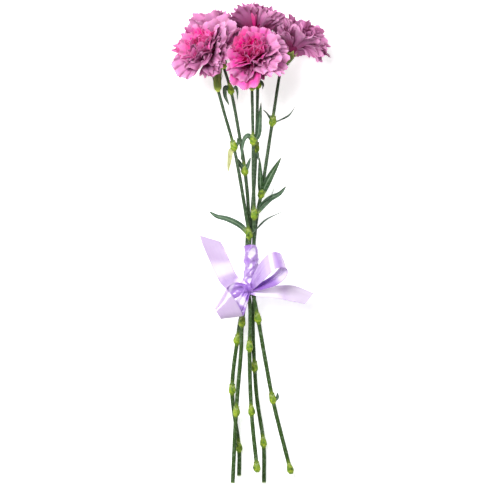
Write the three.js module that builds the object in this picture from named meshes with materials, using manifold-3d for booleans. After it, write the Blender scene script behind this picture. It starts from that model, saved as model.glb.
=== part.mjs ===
// A bunch of five carnations, tied with a satin ribbon and lying on a surface.
// Millimetres. X runs across the bunch, Y up the stems to the blooms, and Z up from the surface.
import * as THREE from 'three';
import { mergeVertices } from 'three/addons/utils/BufferGeometryUtils.js';
import Module from 'manifold-3d';

// Stems and their swollen joints
const STEM_RADIUS_LOW = 2.4;
const STEM_RADIUS_TOP = 1.75;
const STEM_SIDES = 6;
const STEM_STEP = 24;
const JOINT_RADIUS = 3.6;
const JOINT_PROFILE = [[-4.5, 0], [-1, 1], [2, 0.9], [8, 0]];

// The bundle: five stems round one line, slightly twisted, where the ribbon holds them
const BUNDLE_X = 0.8;
const BUNDLE_Z = 27;
const BUNDLE_WAIST_Y = -27;
const BUNDLE_RADIUS = 4.28;
const BUNDLE_TWIST_PER_MM = 0.6;
const BUNDLE_HEIGHTS = [-50, -27, -2];

// Leaves
const LEAF_THICKNESS = 0.8;
const LEAF_ROWS = 6;
const LEAF_GROOVE = 0.16;

// Calyx, the green cup under each bloom
const CALYX_SIDES = 8;
const CALYX_PROFILE = [[0, 2.1], [0.1, 3.9], [0.2, 4.1], [0.32, 3.9], [0.55, 5.2], [0.85, 5.7], [1, 5.4]];
const CALYX_TEETH = 5;
const TOOTH_LENGTH = 7;
const SEAT_GAP = 0.3;

// Blooms
const PETALS = 14;
const PETAL_THICKNESS = 0.7;
const PETAL_ROWS = [0.08, 0.5, 0.8, 1];
const PETAL_COLUMNS = 5;
const PETAL_OUTER = { length: 41, spread: 38, wave: 1.8 };
const PETAL_INNER = { length: 27, spread: 30, wave: 3.4 };
const PETAL_INNER_BEND = 20;
const PETAL_START_ANGLE = 42;
const PETAL_ROUNDING = 0.14;
const PETAL_FRILL = [0.015, 0.035];
const PETAL_ROOT = [3, 1.5];
const PETAL_LIFT = [2, 9];
const GOLDEN_ANGLE = 137.508;
const CORE_PROFILE = [[0, 0], [4.5, 0], [4.9, 4], [10, 9], [11.5, 14], [9, 19], [0, 22]];
const CORE_SIDES = 10;

// How a petal gives way to the surface or to the next bloom
const GIVE_DEPTH = 4;
const GIVE_GAP = 0.55;
const GIVE_LAYER = 0.85;
const GIVE_LAYERS = 6;
const NEIGHBOUR_LAYER = 0.35;
const SHORTENED = 1.15;
const SHORTENED_ON_SURFACE = 1.6;
const NEIGHBOUR_OVERLAP = 26;
const SURFACE_LIFT = 0.36;

// Ribbon
const RIBBON_HALF_WIDTH = 12.5;
const RIBBON_THICKNESS = 0.9;
const RIBBON_STEPS = 3;
const WRAP_TOP = -3;
const WRAP_BOTTOM = -51.5;
const WRAP_INNER = 7.2;
const WRAP_OUTER = 8.2;
const WRAP_SIDES = 14;
const WRAP_RINGS = 4;

const PINK = 0xd6479c;
const GREEN = 0x55794f;
const LILAC = 0xd3b2ea;

const wasm = await Module();
wasm.setup();

const vec = (point) => new THREE.Vector3(...point);
const radians = THREE.MathUtils.degToRad;

// A repeatable draw of numbers from 0 to 1
function draws(seed) {
  let state = seed >>> 0;
  return () => {
    state = (state + 0x6d2b79f5) >>> 0;
    let mixed = state;
    mixed = Math.imul(mixed ^ (mixed >>> 15), mixed | 1);
    mixed ^= mixed + Math.imul(mixed ^ (mixed >>> 7), mixed | 61);
    return ((mixed ^ (mixed >>> 14)) >>> 0) / 4294967296;
  };
}

function geometryOf(points, triangles) {
  const geometry = new THREE.BufferGeometry();
  const numbers = points.flatMap((point) => point.toArray());
  geometry.setAttribute('position', new THREE.Float32BufferAttribute(numbers, 3));
  geometry.setIndex(triangles);
  return geometry;
}

// A closed body through rings of equal size, each counter-clockwise about the way they run
function loft(rings) {
  const size = rings[0].length;
  const triangles = [];
  for (let row = 0; row + 1 < rings.length; row += 1) {
    for (let side = 0; side < size; side += 1) {
      const next = (side + 1) % size;
      const a = row * size + side;
      const b = row * size + next;
      const c = b + size;
      const d = a + size;
      triangles.push(a, b, d, b, c, d);
    }
  }
  const last = (rings.length - 1) * size;
  for (let side = 1; side + 1 < size; side += 1) {
    triangles.push(0, side + 1, side);
    triangles.push(last, last + side, last + side + 1);
  }
  return geometryOf(rings.flat(), triangles);
}

// A thin blade round a grid of points, with both faces split into triangles alike
function blade(grid, thickness) {
  const rows = grid.length;
  const columns = grid[0].length;
  const points = [];
  const at = (row, column, face) => (row * columns + column) * 2 + face;
  for (let row = 0; row < rows; row += 1) {
    for (let column = 0; column < columns; column += 1) {
      const along = grid[Math.min(row + 1, rows - 1)][column].clone()
        .sub(grid[Math.max(row - 1, 0)][column]);
      const across = grid[row][Math.min(column + 1, columns - 1)].clone()
        .sub(grid[row][Math.max(column - 1, 0)]);
      const out = along.cross(across).normalize().multiplyScalar(thickness / 2);
      points.push(grid[row][column].clone().add(out));
      points.push(grid[row][column].clone().sub(out));
    }
  }
  const triangles = [];
  const rim = (a, b) => triangles.push(a, a + 1, b, b, a + 1, b + 1);
  for (let row = 0; row + 1 < rows; row += 1) {
    for (let column = 0; column + 1 < columns; column += 1) {
      const a = at(row, column, 0);
      const b = at(row + 1, column, 0);
      const c = at(row, column + 1, 0);
      const d = at(row + 1, column + 1, 0);
      triangles.push(a, b, c, c, b, d);
      triangles.push(a + 1, c + 1, b + 1, c + 1, d + 1, b + 1);
    }
    rim(at(row, 0, 0), at(row + 1, 0, 0));
    rim(at(row + 1, columns - 1, 0), at(row, columns - 1, 0));
  }
  for (let column = 0; column + 1 < columns; column += 1) {
    rim(at(0, column + 1, 0), at(0, column, 0));
    rim(at(rows - 1, column, 0), at(rows - 1, column + 1, 0));
  }
  return geometryOf(points, triangles);
}

function toSolid(geometry) {
  geometry.deleteAttribute('normal');
  geometry.deleteAttribute('uv');
  const merged = mergeVertices(geometry, 1e-4);
  const mesh = new wasm.Mesh({
    numProp: 3,
    vertProperties: new Float32Array(merged.attributes.position.array),
    triVerts: new Uint32Array(merged.index.array),
  });
  return new wasm.Manifold(mesh);
}

function toGeometry(solid) {
  const mesh = solid.getMesh();
  const geometry = new THREE.BufferGeometry();
  geometry.setAttribute('position', new THREE.BufferAttribute(new Float32Array(mesh.vertProperties), 3));
  geometry.setIndex(new THREE.BufferAttribute(new Uint32Array(mesh.triVerts), 1));
  return geometry;
}

// Joins pieces in one body. Sealed hollows are filled and loose scraps dropped.
function fuse(geometries) {
  const joined = geometries.map(toSolid).reduce((body, piece) => body.add(piece));
  const bodies = joined.decompose();
  return bodies.reduce((best, body) => (body.volume() > best.volume() ? body : best));
}

function meshOf(name, solid, color, roughness) {
  const material = new THREE.MeshStandardMaterial({ color, roughness, metalness: 0 });
  const mesh = new THREE.Mesh(toGeometry(solid), material);
  mesh.name = name;
  return mesh;
}

// A ring of points square to a path
function ringAt(centre, along, radius, sides) {
  const first = new THREE.Vector3(1, 0, 0).addScaledVector(along, -along.x).normalize();
  const second = along.clone().cross(first);
  return Array.from({ length: sides }, (_, side) => {
    const angle = (2 * Math.PI * side) / sides;
    return centre.clone()
      .addScaledVector(first, radius * Math.cos(angle))
      .addScaledVector(second, radius * Math.sin(angle));
  });
}

// The place of a stem in the bundle, at an angle from straight up, turning as it goes down
function bundlePoint(angle, y) {
  const turned = radians(angle + BUNDLE_TWIST_PER_MM * (BUNDLE_WAIST_Y - y));
  return [BUNDLE_X + BUNDLE_RADIUS * Math.sin(turned), y, BUNDLE_Z + BUNDLE_RADIUS * Math.cos(turned)];
}

// Each stem: hand-placed points below and above the bundle, its joints' heights, its leaves and its bloom.
// A leaf has the height of its joint, its points after the root, its width, and its turn from facing up.
// The first and largest petal of a bloom hangs the way that its hang points. Its outer petals bend out
// from its axis by its open angle, and its reach is their share of the usual length.
const FLOWERS = [
  {
    name: 'left_front',
    low: [[46.7, -260.2, 13], [25.9, -177, 19], [17.4, -132, 22.5], [9.3, -86, 27.4], [5, -64, 30.8]],
    bundleAngle: 0,
    high: [[-0.9, 9, 34.1], [-4.8, 34, 37.5], [-18, 107.7, 42], [-29, 147, 46.5], [-35.4, 170.7, 50]],
    joints: [-256, -177, -86, 9, 107.7],
    leaves: [
      { joint: 9, points: [[-10, 19.5, 37], [-25, 27.5, 39], [-38, 31, 38], [-46, 36.5, 34]], width: 6.5, turn: 15 },
      { joint: 9, points: [[7, 17, 37.5], [17, 27, 40], [39.4, 37.4, 41]], width: 4.5, turn: 70 },
      { joint: 107.7, points: [[-21.4, 104, 44], [-23, 94, 44], [-24.8, 80.5, 42]], width: 6, turn: 10 },
      { joint: 107.7, points: [[-13.5, 113, 44], [-14, 119, 45]], width: 4, turn: -20 },
      { joint: -177, points: [[30.5, -174, 20], [31, -168, 22]], width: 4, turn: 0 },
    ],
    throat: [-41, 207, 60],
    axis: [-0.5, 0.55, 0.67],
    open: 122,
    reach: 1.14,
    hang: [0.5, -0.6, 0.6],
    seed: 11,
    limits: [{ point: [0, 0, 40], normal: [0, 0, 1] }],
  },
  {
    name: 'left_back',
    low: [[8.4, -258, 24], [1.7, -190.5, 27], [-0.6, -117.9, 30.5], [0.2, -90, 31.2], [-0.4, -66, 31]],
    bundleAngle: 288,
    high: [[-1.8, 34.5, 28.4], [-5.6, 80.7, 27.5], [-12, 122, 27], [-21.4, 171.8, 27.5], [-29, 197, 27]],
    joints: [-254, -190.5, -117.9, 80.7, 171.8],
    leaves: [
      { joint: 80.7, points: [[-10, 88, 29.5], [-15.5, 97.5, 30.5]], width: 5, turn: 15 },
      { joint: 80.7, points: [[-2.4, 88, 30.5], [0.6, 97, 32]], width: 4.5, turn: -20 },
      { joint: 171.8, points: [[-27.5, 176, 31], [-28, 167, 32.5], [-23.6, 156, 32]], width: 5, turn: 10 },
      { joint: 171.8, points: [[-16, 177, 30], [-14, 172, 32], [-14.2, 162, 32]], width: 4.5, turn: 50 },
    ],
    throat: [-33, 223, 24],
    axis: [-0.12, 0.9, 0.25],
    open: 126,
    reach: 1.05,
    hang: [-0.1, 0, -1],
    seed: 22,
    limits: [],
  },
  {
    name: 'front',
    low: [
      [15.8, -270.3, 2.1], [15.3, -226.5, 6.6], [7.9, -175.8, 12],
      [5.2, -141, 15.5], [3.3, -91.5, 20.5],
    ],
    bundleAngle: 72,
    high: [[4.8, 31.2, 33.6], [3.8, 70, 39], [3.4, 114.4, 44.5], [2.25, 171.8, 54]],
    joints: [-226.5, -141, 31.2, 114.4],
    leaves: [
      { joint: 31.2, points: [[12, 41, 36], [22.5, 51, 38.5], [33, 56.5, 39], [40.5, 64.5, 37]], width: 7, turn: 15 },
      { joint: 31.2, points: [[13, 45, 37.5], [22, 52, 41], [27, 62, 42]], width: 4, turn: 75 },
      { joint: 114.4, points: [[-2, 121, 47], [-6.5, 117, 49], [-10.2, 94, 48]], width: 6, turn: 25 },
      { joint: 114.4, points: [[8.5, 122, 46], [10.5, 138, 47], [12.4, 158.5, 48]], width: 6.5, turn: 15 },
    ],
    throat: [8, 200.5, 70],
    axis: [-0.16, 0.6, 0.78],
    open: 122,
    reach: 1,
    hang: [-0.35, -0.8, 0.6],
    seed: 33,
    limits: [{ point: [0, 0, 42], normal: [0, 0, 1] }],
  },
  {
    name: 'centre_back',
    low: [
      [-19.6, -270.3, 15.5], [-15.8, -191.6, 19], [-10.1, -120.7, 22.5],
      [-9, -90.3, 24.3], [-5.4, -64, 24.6],
    ],
    bundleAngle: 216,
    high: [[2.3, 34.5, 22.4], [6.75, 106.5, 24], [8.55, 175, 27], [8.8, 208, 28.5]],
    joints: [-191.6, -90.3, 106.5, 178],
    leaves: [
      { joint: 106.5, points: [[9, 100, 27], [9.4, 94, 28]], width: 3.6, turn: 30 },
      { joint: 178, points: [[12.5, 183, 31], [15, 179, 33], [14, 174, 34]], width: 3.6, turn: 40 },
    ],
    throat: [5, 232, 43],
    axis: [0.05, 0.84, -0.5],
    open: 112,
    reach: 0.86,
    hang: [0.1, 0, -1],
    seed: 44,
    limits: [],
  },
  {
    name: 'right',
    low: [
      [-12.4, -262.5, 2.4], [-12.4, -232.1, 4.2], [-20.3, -166.8, 8.8], [-14.6, -110.6, 14.5],
      [-9.5, -80, 17], [-3.2, -63, 18.8],
    ],
    bundleAngle: 144,
    high: [[8.8, 37.9, 24], [12.4, 54.8, 24.3], [25, 136.3, 26], [33.5, 190.9, 28.5], [35, 197, 29]],
    joints: [-232.1, -166.8, -110.6, 54.8, 136.3],
    leaves: [
      { joint: 54.8, points: [[11.5, 70, 30], [10.6, 97, 32]], width: 6.5, turn: 15 },
      { joint: 54.8, points: [[19.5, 70, 29], [35, 97, 33]], width: 8.5, turn: 10 },
      { joint: 136.3, points: [[19.5, 145.5, 29], [14.6, 151, 30]], width: 4, turn: 60 },
      { joint: 136.3, points: [[35, 140.5, 29], [44, 145.5, 31], [50.6, 154, 32]], width: 4, turn: 65 },
      { joint: -232.1, points: [[-16, -228, 7], [-16.6, -223, 8]], width: 4, turn: 0 },
    ],
    throat: [46, 215, 31],
    axis: [0.44, 0.88, -0.08],
    open: 132,
    reach: 1.06,
    hang: [0.1, 0, -1],
    seed: 55,
    limits: [],
  },
];

const BLOOM_HEART = 10;
const heartOf = (flower) => vec(flower.throat).addScaledVector(vec(flower.axis).normalize(), BLOOM_HEART);

function stemCurve(flower) {
  const inBundle = BUNDLE_HEIGHTS.map((y) => bundlePoint(flower.bundleAngle, y));
  return new THREE.CatmullRomCurve3([...flower.low, ...inBundle, ...flower.high].map(vec));
}

// The parameter at which a rising curve reaches a height along the bunch
function parameterAt(curve, y) {
  let low = 0;
  let high = 1;
  for (let step = 0; step < 30; step += 1) {
    const middle = (low + high) / 2;
    if (curve.getPoint(middle).y < y) {
      low = middle;
    } else {
      high = middle;
    }
  }
  return (low + high) / 2;
}

function stemHeights(flower, bottom, top) {
  const atJoints = flower.joints.flatMap((y) => JOINT_PROFILE.map(([offset]) => y + offset));
  const heights = [bottom, ...BUNDLE_HEIGHTS, ...atJoints, top].filter((y) => y >= bottom && y <= top);
  heights.sort((a, b) => a - b);
  const filled = [];
  heights.forEach((y, index) => {
    filled.push(y);
    const span = (heights[index + 1] ?? y) - y;
    const parts = Math.ceil(span / STEM_STEP);
    for (let part = 1; part < parts; part += 1) {
      filled.push(y + (span * part) / parts);
    }
  });
  return filled.filter((y, index) => index === 0 || y - filled[index - 1] > 0.4);
}

function stemRadius(flower, y, share) {
  const plain = THREE.MathUtils.lerp(STEM_RADIUS_LOW, STEM_RADIUS_TOP, share * share);
  let swelling = 0;
  for (const joint of flower.joints) {
    const offset = y - joint;
    for (let step = 0; step + 1 < JOINT_PROFILE.length; step += 1) {
      const [from, low] = JOINT_PROFILE[step];
      const [to, high] = JOINT_PROFILE[step + 1];
      if (offset >= from && offset <= to) {
        swelling = Math.max(swelling, low + ((high - low) * (offset - from)) / (to - from));
      }
    }
  }
  return plain + (JOINT_RADIUS - plain) * swelling;
}

function stemBody(flower, curve) {
  const bottom = curve.points[0].y;
  const top = curve.points[curve.points.length - 1].y;
  const rings = stemHeights(flower, bottom, top).map((y) => {
    const at = parameterAt(curve, y);
    const radius = stemRadius(flower, y, (y - bottom) / (top - bottom));
    return ringAt(curve.getPoint(at), curve.getTangent(at), radius, STEM_SIDES);
  });
  return loft(rings);
}

// A narrow pointed leaf, hollowed along its midrib
function leafBody(leaf, curve) {
  const root = curve.getPoint(parameterAt(curve, leaf.joint));
  const spine = new THREE.CatmullRomCurve3([root, ...leaf.points.map(vec)]);
  const grid = Array.from({ length: LEAF_ROWS }, (_, row) => {
    const share = row / (LEAF_ROWS - 1);
    const centre = spine.getPoint(share);
    const along = spine.getTangent(share);
    const facing = new THREE.Vector3(0, 0, 1).applyAxisAngle(along, radians(leaf.turn));
    const side = along.clone().cross(facing).normalize();
    const up = side.clone().cross(along);
    const swell = Math.sin(Math.PI * (0.2 + 0.79 * share)) ** 0.7;
    const half = Math.max(0.5, (leaf.width / 2) * swell);
    return [-1, 0, 1].map((place) => centre.clone()
      .addScaledVector(side, place * half)
      .addScaledVector(up, Math.abs(place) * half * 2 * LEAF_GROOVE));
  });
  return blade(grid, LEAF_THICKNESS);
}

// The calyx follows a curve from the stem's end to just under the bloom
function calyxPieces(flower, curve) {
  const foot = curve.getPoint(1);
  const leaving = curve.getTangent(1);
  const axis = vec(flower.axis).normalize();
  const seat = vec(flower.throat).addScaledVector(axis, -SEAT_GAP);
  const reach = foot.distanceTo(seat) / 3;
  const bend = new THREE.CubicBezierCurve3(
    foot,
    foot.clone().addScaledVector(leaving, reach),
    seat.clone().addScaledVector(axis, -reach),
    seat,
  );
  const rings = CALYX_PROFILE.map(([share, radius]) => (
    ringAt(bend.getPoint(share), bend.getTangent(share), radius, CALYX_SIDES)
  ));
  const teeth = Array.from({ length: CALYX_TEETH }, (_, tooth) => {
    const rim = ringAt(seat, axis, 1, CALYX_TEETH)[tooth].sub(seat);
    const side = axis.clone().cross(rim);
    const point = (out, up, across) => seat.clone()
      .addScaledVector(rim, out)
      .addScaledVector(axis, up)
      .addScaledVector(side, across);
    const base = TOOTH_LENGTH / 2;
    return loft([
      [point(4.6, -base, -2.5), point(5.7, -base, -2.5), point(5.7, -base, 2.5), point(4.6, -base, 2.5)],
      [point(5.9, base, -0.5), point(6.8, base, -0.5), point(6.8, base, 0.5), point(5.9, base, 0.5)],
    ]);
  });
  return [loft(rings), ...teeth];
}

function stemNode(flower) {
  const curve = stemCurve(flower);
  const leaves = flower.leaves.map((leaf) => leafBody(leaf, curve));
  const body = fuse([stemBody(flower, curve), ...calyxPieces(flower, curve), ...leaves]);
  return meshOf(`stem_${flower.name}`, body, GREEN, 0.6);
}

// The planes that a bloom gives way to: the surface, planes of its own, and one to each neighbour
function limitsOf(flower) {
  const heart = heartOf(flower);
  const surface = {
    point: [0, 0, 0],
    normal: [0, 0, 1],
    low: SURFACE_LIFT - GIVE_GAP,
    spare: SHORTENED_ON_SURFACE,
  };
  const planes = [surface, ...flower.limits].map((limit) => ({
    point: vec(limit.point),
    normal: vec(limit.normal),
    low: limit.low ?? 0,
    layer: GIVE_LAYER,
    spare: limit.spare ?? SHORTENED,
  }));
  for (const other of FLOWERS) {
    if (other !== flower) {
      const apart = heart.clone().sub(heartOf(other));
      const point = heart.clone().addScaledVector(apart, -flower.reach / (flower.reach + other.reach));
      const lean = new THREE.Vector3(0, 0, Math.sign(apart.z) * NEIGHBOUR_OVERLAP);
      const normal = apart.add(lean).normalize();
      planes.push({ point, normal, low: 0, layer: NEIGHBOUR_LAYER, spare: SHORTENED });
    }
  }
  return planes;
}

// Bends a point back to the near side of each plane, softly, so that layers stay in their order
function giveWay(point, planes, layer) {
  for (const plane of planes) {
    const floor = GIVE_GAP + plane.low + plane.layer * Math.min(layer, GIVE_LAYERS);
    const soft = floor + GIVE_DEPTH;
    const distance = point.clone().sub(plane.point).dot(plane.normal);
    if (distance < soft) {
      const kept = floor + GIVE_DEPTH * Math.exp((distance - soft) / GIVE_DEPTH);
      point.addScaledVector(plane.normal, kept - distance);
    }
  }
  return point;
}

// One frilled petal: a fan bent outward along a circle's arc, with waves that grow to its toothed edge
function petalGrid(petal, frame, planes) {
  const start = radians(PETAL_START_ANGLE * (petal.bend / frame.open));
  const turn = radians(petal.bend) - start;
  const outward = frame.first.clone().multiplyScalar(Math.cos(petal.around))
    .addScaledVector(frame.second, Math.sin(petal.around));
  const sideways = frame.axis.clone().cross(outward);
  const place = (share, across, length) => {
    const fan = radians(petal.spread) * across;
    const tooth = share === 1 ? petal.frill * Math.cos(across * Math.PI * 3) : 0;
    const round = PETAL_ROUNDING * across ** 4 * share * share;
    const run = length * share * (1 + tooth - round);
    const forward = run * Math.cos(fan);
    const angle = start + (turn * forward) / length;
    const curl = length / turn;
    const radius = petal.root + curl * (Math.cos(start) - Math.cos(angle));
    const height = petal.lift + curl * (Math.sin(angle) - Math.sin(start));
    const wave = petal.wave * share * share * Math.sin(across * Math.PI * petal.folds + petal.phase)
      + petal.cup * across * across * share;
    const roll = petal.roll * share;
    const lateral = run * Math.sin(fan);
    const lift = wave * Math.cos(roll) + lateral * Math.sin(roll);
    const slide = lateral * Math.cos(roll) - wave * Math.sin(roll);
    return frame.throat.clone()
      .addScaledVector(outward, radius - Math.cos(angle) * lift)
      .addScaledVector(frame.axis, height + Math.sin(angle) * lift)
      .addScaledVector(sideways, slide);
  };
  // A petal that runs into a plane is a little shorter
  let fit = 1;
  for (const plane of planes) {
    const inside = frame.throat.clone().sub(plane.point).dot(plane.normal);
    const beyond = place(1, 0, petal.length).sub(plane.point).dot(plane.normal);
    if (beyond < 0 && inside > 0) {
      fit = Math.min(fit, (plane.spare * inside) / (inside - beyond));
    }
  }
  return PETAL_ROWS.map((share) => (
    Array.from({ length: PETAL_COLUMNS }, (_, column) => {
      const across = (2 * column) / (PETAL_COLUMNS - 1) - 1;
      return giveWay(place(share, across, petal.length * fit), planes, petal.layer);
    })
  ));
}

function petalsOf(flower) {
  const draw = draws(flower.seed);
  const between = (low, high) => low + (high - low) * draw();
  return Array.from({ length: PETALS }, (_, index) => {
    const inward = index / (PETALS - 1);
    const lerp = (outer, inner) => THREE.MathUtils.lerp(outer, inner, inward);
    const mix = (key) => lerp(PETAL_OUTER[key], PETAL_INNER[key]);
    return {
      layer: index,
      around: radians(index * GOLDEN_ANGLE + between(-8, 8)),
      length: lerp(PETAL_OUTER.length * flower.reach, PETAL_INNER.length) * between(0.93, 1.05),
      bend: lerp(flower.open, PETAL_INNER_BEND) + between(-9, 9) * (1 - inward),
      spread: mix('spread') * between(0.9, 1.1),
      wave: mix('wave') * between(0.8, 1.2),
      folds: between(0.9, 1.3),
      phase: between(0, 2 * Math.PI),
      cup: between(0, 3),
      frill: between(...PETAL_FRILL),
      roll: radians(between(-6, 6) + between(-34, 34) * inward),
      root: lerp(...PETAL_ROOT),
      lift: lerp(...PETAL_LIFT),
    };
  });
}

function bloomNode(flower) {
  const axis = vec(flower.axis).normalize();
  const hang = vec(flower.hang);
  const first = hang.addScaledVector(axis, -hang.dot(axis)).normalize();
  const second = axis.clone().cross(first);
  const frame = { throat: vec(flower.throat), axis, first, second, open: flower.open };
  const planes = limitsOf(flower);
  const petals = petalsOf(flower).map((petal) => blade(petalGrid(petal, frame, planes), PETAL_THICKNESS));
  const core = new THREE.LatheGeometry(CORE_PROFILE.map(([r, h]) => new THREE.Vector2(r, h)), CORE_SIDES);
  core.applyQuaternion(new THREE.Quaternion().setFromUnitVectors(new THREE.Vector3(0, 1, 0), axis));
  core.translate(...flower.throat);
  return meshOf(`bloom_${flower.name}`, fuse([core, ...petals]), PINK, 0.75);
}

// The bow: each piece of ribbon has its middle points and its half-widths there, from the knot outward
const KNOT = [-2.5, -50.5, 38];
const KNOT_SIZE = [7, 6.5, 5];
const BOW = [
  {
    middle: [[-3, -51, 38], [-12, -52, 39], [-22, -55, 40], [-30, -58.5, 42.5], [-33, -61, 47],
      [-30.5, -65, 50.5], [-26.5, -71, 51], [-22, -79, 49], [-20.3, -82.5, 45.5], [-17, -78, 42],
      [-11, -68, 40.5], [-5.5, -58, 39.5], [-3, -52, 38.5]],
    half: [[0.5, 4.5, 0], [1.5, 8, 0], [3.5, 11, 0], [6.2, 11.5, 0], [6.7, 11, 0],
      [8.5, 9.5, 0], [10.8, 6.5, 0], [12, 3.5, 0], [12.4, 1.8, 0], [11, 0, -2],
      [7.5, -1.5, -1], [4.5, -1.5, 0], [3.5, -1, 0]],
  },
  {
    middle: [[-4, -50, 37.5], [-13, -48, 37.5], [-22.5, -42, 37], [-31.5, -25, 40], [-45, 5.9, 33]],
    half: [[1.5, 4, 0], [5, 7.5, 0], [8.5, 5, -5], [9.2, 4, -7], [13, -4, -3]],
  },
  {
    middle: [[0, -53, 37], [12, -54, 38], [27, -53.8, 38], [46, -55.8, 33], [67, -62, 25]],
    half: [[0, 4, 0], [0.5, 6, -5], [1, 6.5, -9], [2, 8.5, -8], [5, 6, -7]],
  },
];

// The upper loop is an open teardrop, turned so that its inside shows. Each point of its outline has how
// far out it is, how far up, and the half-width there.
const LOOP_ROOT = [1, -49.5, 38];
const LOOP_OUTWARD = [0.705, 0.613, 0.355];
const LOOP_ACROSS = [0.265, -0.69, 0.67];
const LOOP_OUTLINE = [[0, 0.5, 4.5], [12, 4.5, 9], [26, 8, 12], [39, 9.5, 12.5], [48, 7, 12.5],
  [51, 0, 12.5], [46, -6, 12.5], [32, -7.5, 11.5], [14, -4.5, 8], [0, -1, 4]];

function upperLoop() {
  const outward = vec(LOOP_OUTWARD).normalize();
  const across = vec(LOOP_ACROSS).normalize();
  const rise = across.clone().cross(outward).normalize();
  const middle = LOOP_OUTLINE.map(([far, up]) => (
    vec(LOOP_ROOT).addScaledVector(outward, far).addScaledVector(rise, up).toArray()
  ));
  const half = LOOP_OUTLINE.map(([, , wide]) => across.clone().multiplyScalar(wide).toArray());
  return { middle, half };
}

function stripBody({ middle, half }) {
  const line = new THREE.CatmullRomCurve3(middle.map(vec));
  const width = new THREE.CatmullRomCurve3(half.map(vec));
  const steps = (middle.length - 1) * RIBBON_STEPS;
  const grid = Array.from({ length: steps + 1 }, (_, step) => {
    const centre = line.getPoint(step / steps);
    const reach = width.getPoint(step / steps).clampLength(0, RIBBON_HALF_WIDTH);
    return [-1, 1].map((side) => centre.clone().addScaledVector(reach, side));
  });
  return blade(grid, RIBBON_THICKNESS);
}

function wrapTube(radius, bottom, top) {
  const rings = Array.from({ length: WRAP_RINGS }, (_, ring) => {
    const y = THREE.MathUtils.lerp(bottom, top, ring / (WRAP_RINGS - 1));
    return ringAt(new THREE.Vector3(BUNDLE_X, y, BUNDLE_Z), new THREE.Vector3(0, 1, 0), radius, WRAP_SIDES);
  });
  return toSolid(loft(rings));
}

function ribbonNode() {
  const knot = new THREE.SphereGeometry(1, 10, 7);
  knot.scale(...KNOT_SIZE);
  knot.translate(...KNOT);
  const outside = wrapTube(WRAP_OUTER, WRAP_BOTTOM, WRAP_TOP);
  const inside = wrapTube(WRAP_INNER, WRAP_BOTTOM - 8, WRAP_TOP + 8);
  const pieces = [knot, ...[upperLoop(), ...BOW].map(stripBody)].map(toSolid);
  const solid = pieces.reduce((body, piece) => body.add(piece), outside).subtract(inside);
  return meshOf('ribbon', solid, LILAC, 0.35);
}

const bunch = new THREE.Group();
for (const flower of FLOWERS) {
  bunch.add(stemNode(flower), bloomNode(flower));
}
bunch.add(ribbonNode());

// The origin is the middle of the bunch's box, on the surface
const box = new THREE.Box3().setFromObject(bunch);
const centre = box.getCenter(new THREE.Vector3());
bunch.position.set(-centre.x, -centre.y, -box.min.z);

export default bunch;
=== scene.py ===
"""A bunch of five carnations tied with a satin ribbon, lying on a pale surface.

Sizes are in millimetres and turn into metres as a mesh is made. X runs across the bunch,
Y up the stems to the blooms, and Z up from the surface.
"""

import logging
import math
from dataclasses import dataclass, field, replace
from enum import Enum

import bpy
import numpy as np
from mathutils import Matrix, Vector


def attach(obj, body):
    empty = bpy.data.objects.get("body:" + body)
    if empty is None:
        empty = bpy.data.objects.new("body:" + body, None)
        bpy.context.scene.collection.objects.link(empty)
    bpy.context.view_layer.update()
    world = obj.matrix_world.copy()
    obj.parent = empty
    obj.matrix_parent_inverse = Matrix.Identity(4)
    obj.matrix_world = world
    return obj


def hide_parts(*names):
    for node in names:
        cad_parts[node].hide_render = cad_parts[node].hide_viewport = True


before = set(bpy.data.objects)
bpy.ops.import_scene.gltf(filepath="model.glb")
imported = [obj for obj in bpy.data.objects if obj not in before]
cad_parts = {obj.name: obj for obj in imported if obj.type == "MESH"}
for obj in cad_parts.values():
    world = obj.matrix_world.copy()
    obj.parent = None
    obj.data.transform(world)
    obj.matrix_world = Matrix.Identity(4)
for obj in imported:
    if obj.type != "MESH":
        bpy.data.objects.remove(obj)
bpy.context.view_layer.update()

LOG = logging.getLogger("carnations")

Array = np.ndarray
Point = tuple[float, float, float]

MM = 0.001
BODY = "root"
# From where the bunch is drawn to its place in the shared frame
SHIFT = np.array([-2.56, 0.78, -0.03])
UP = np.array([0.0, 0.0, 1.0])
UP_THE_STEMS = np.array([[[0.0, 1.0, 0.0]]])
GOLDEN_ANGLE = 137.508
SHARP_ANGLE = 50


class Slot(Enum):
    """The record's material slots."""

    PETAL = "petal"
    STEM = "stem"
    RIBBON = "ribbon"


def unit(vector: Array) -> Array:
    """Returns vectors of length 1 along the last axis."""
    return vector / np.maximum(np.linalg.norm(vector, axis=-1, keepdims=True), 1e-9)


def lerp(low: float, high: float, share: float) -> float:
    """Returns the value at a share of the way from low to high."""
    return low + (high - low) * share


def smooth(share: Array) -> Array:
    """Returns a share from 0 to 1, eased at both ends."""
    held = np.clip(share, 0, 1)
    return held * held * (3 - 2 * held)


def linear(hex_colour: str) -> tuple[float, float, float, float]:
    """Turns an sRGB colour into Blender's linear one.

    Args:
        hex_colour: The colour as # and six hexadecimal digits.

    Returns:
        Red, green, blue and an alpha of 1.
    """
    channels = [int(hex_colour[place : place + 2], 16) / 255 for place in (1, 3, 5)]
    bright = [c / 12.92 if c <= 0.04045 else ((c + 0.055) / 1.055) ** 2.4 for c in channels]
    return (*bright, 1.0)


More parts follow.
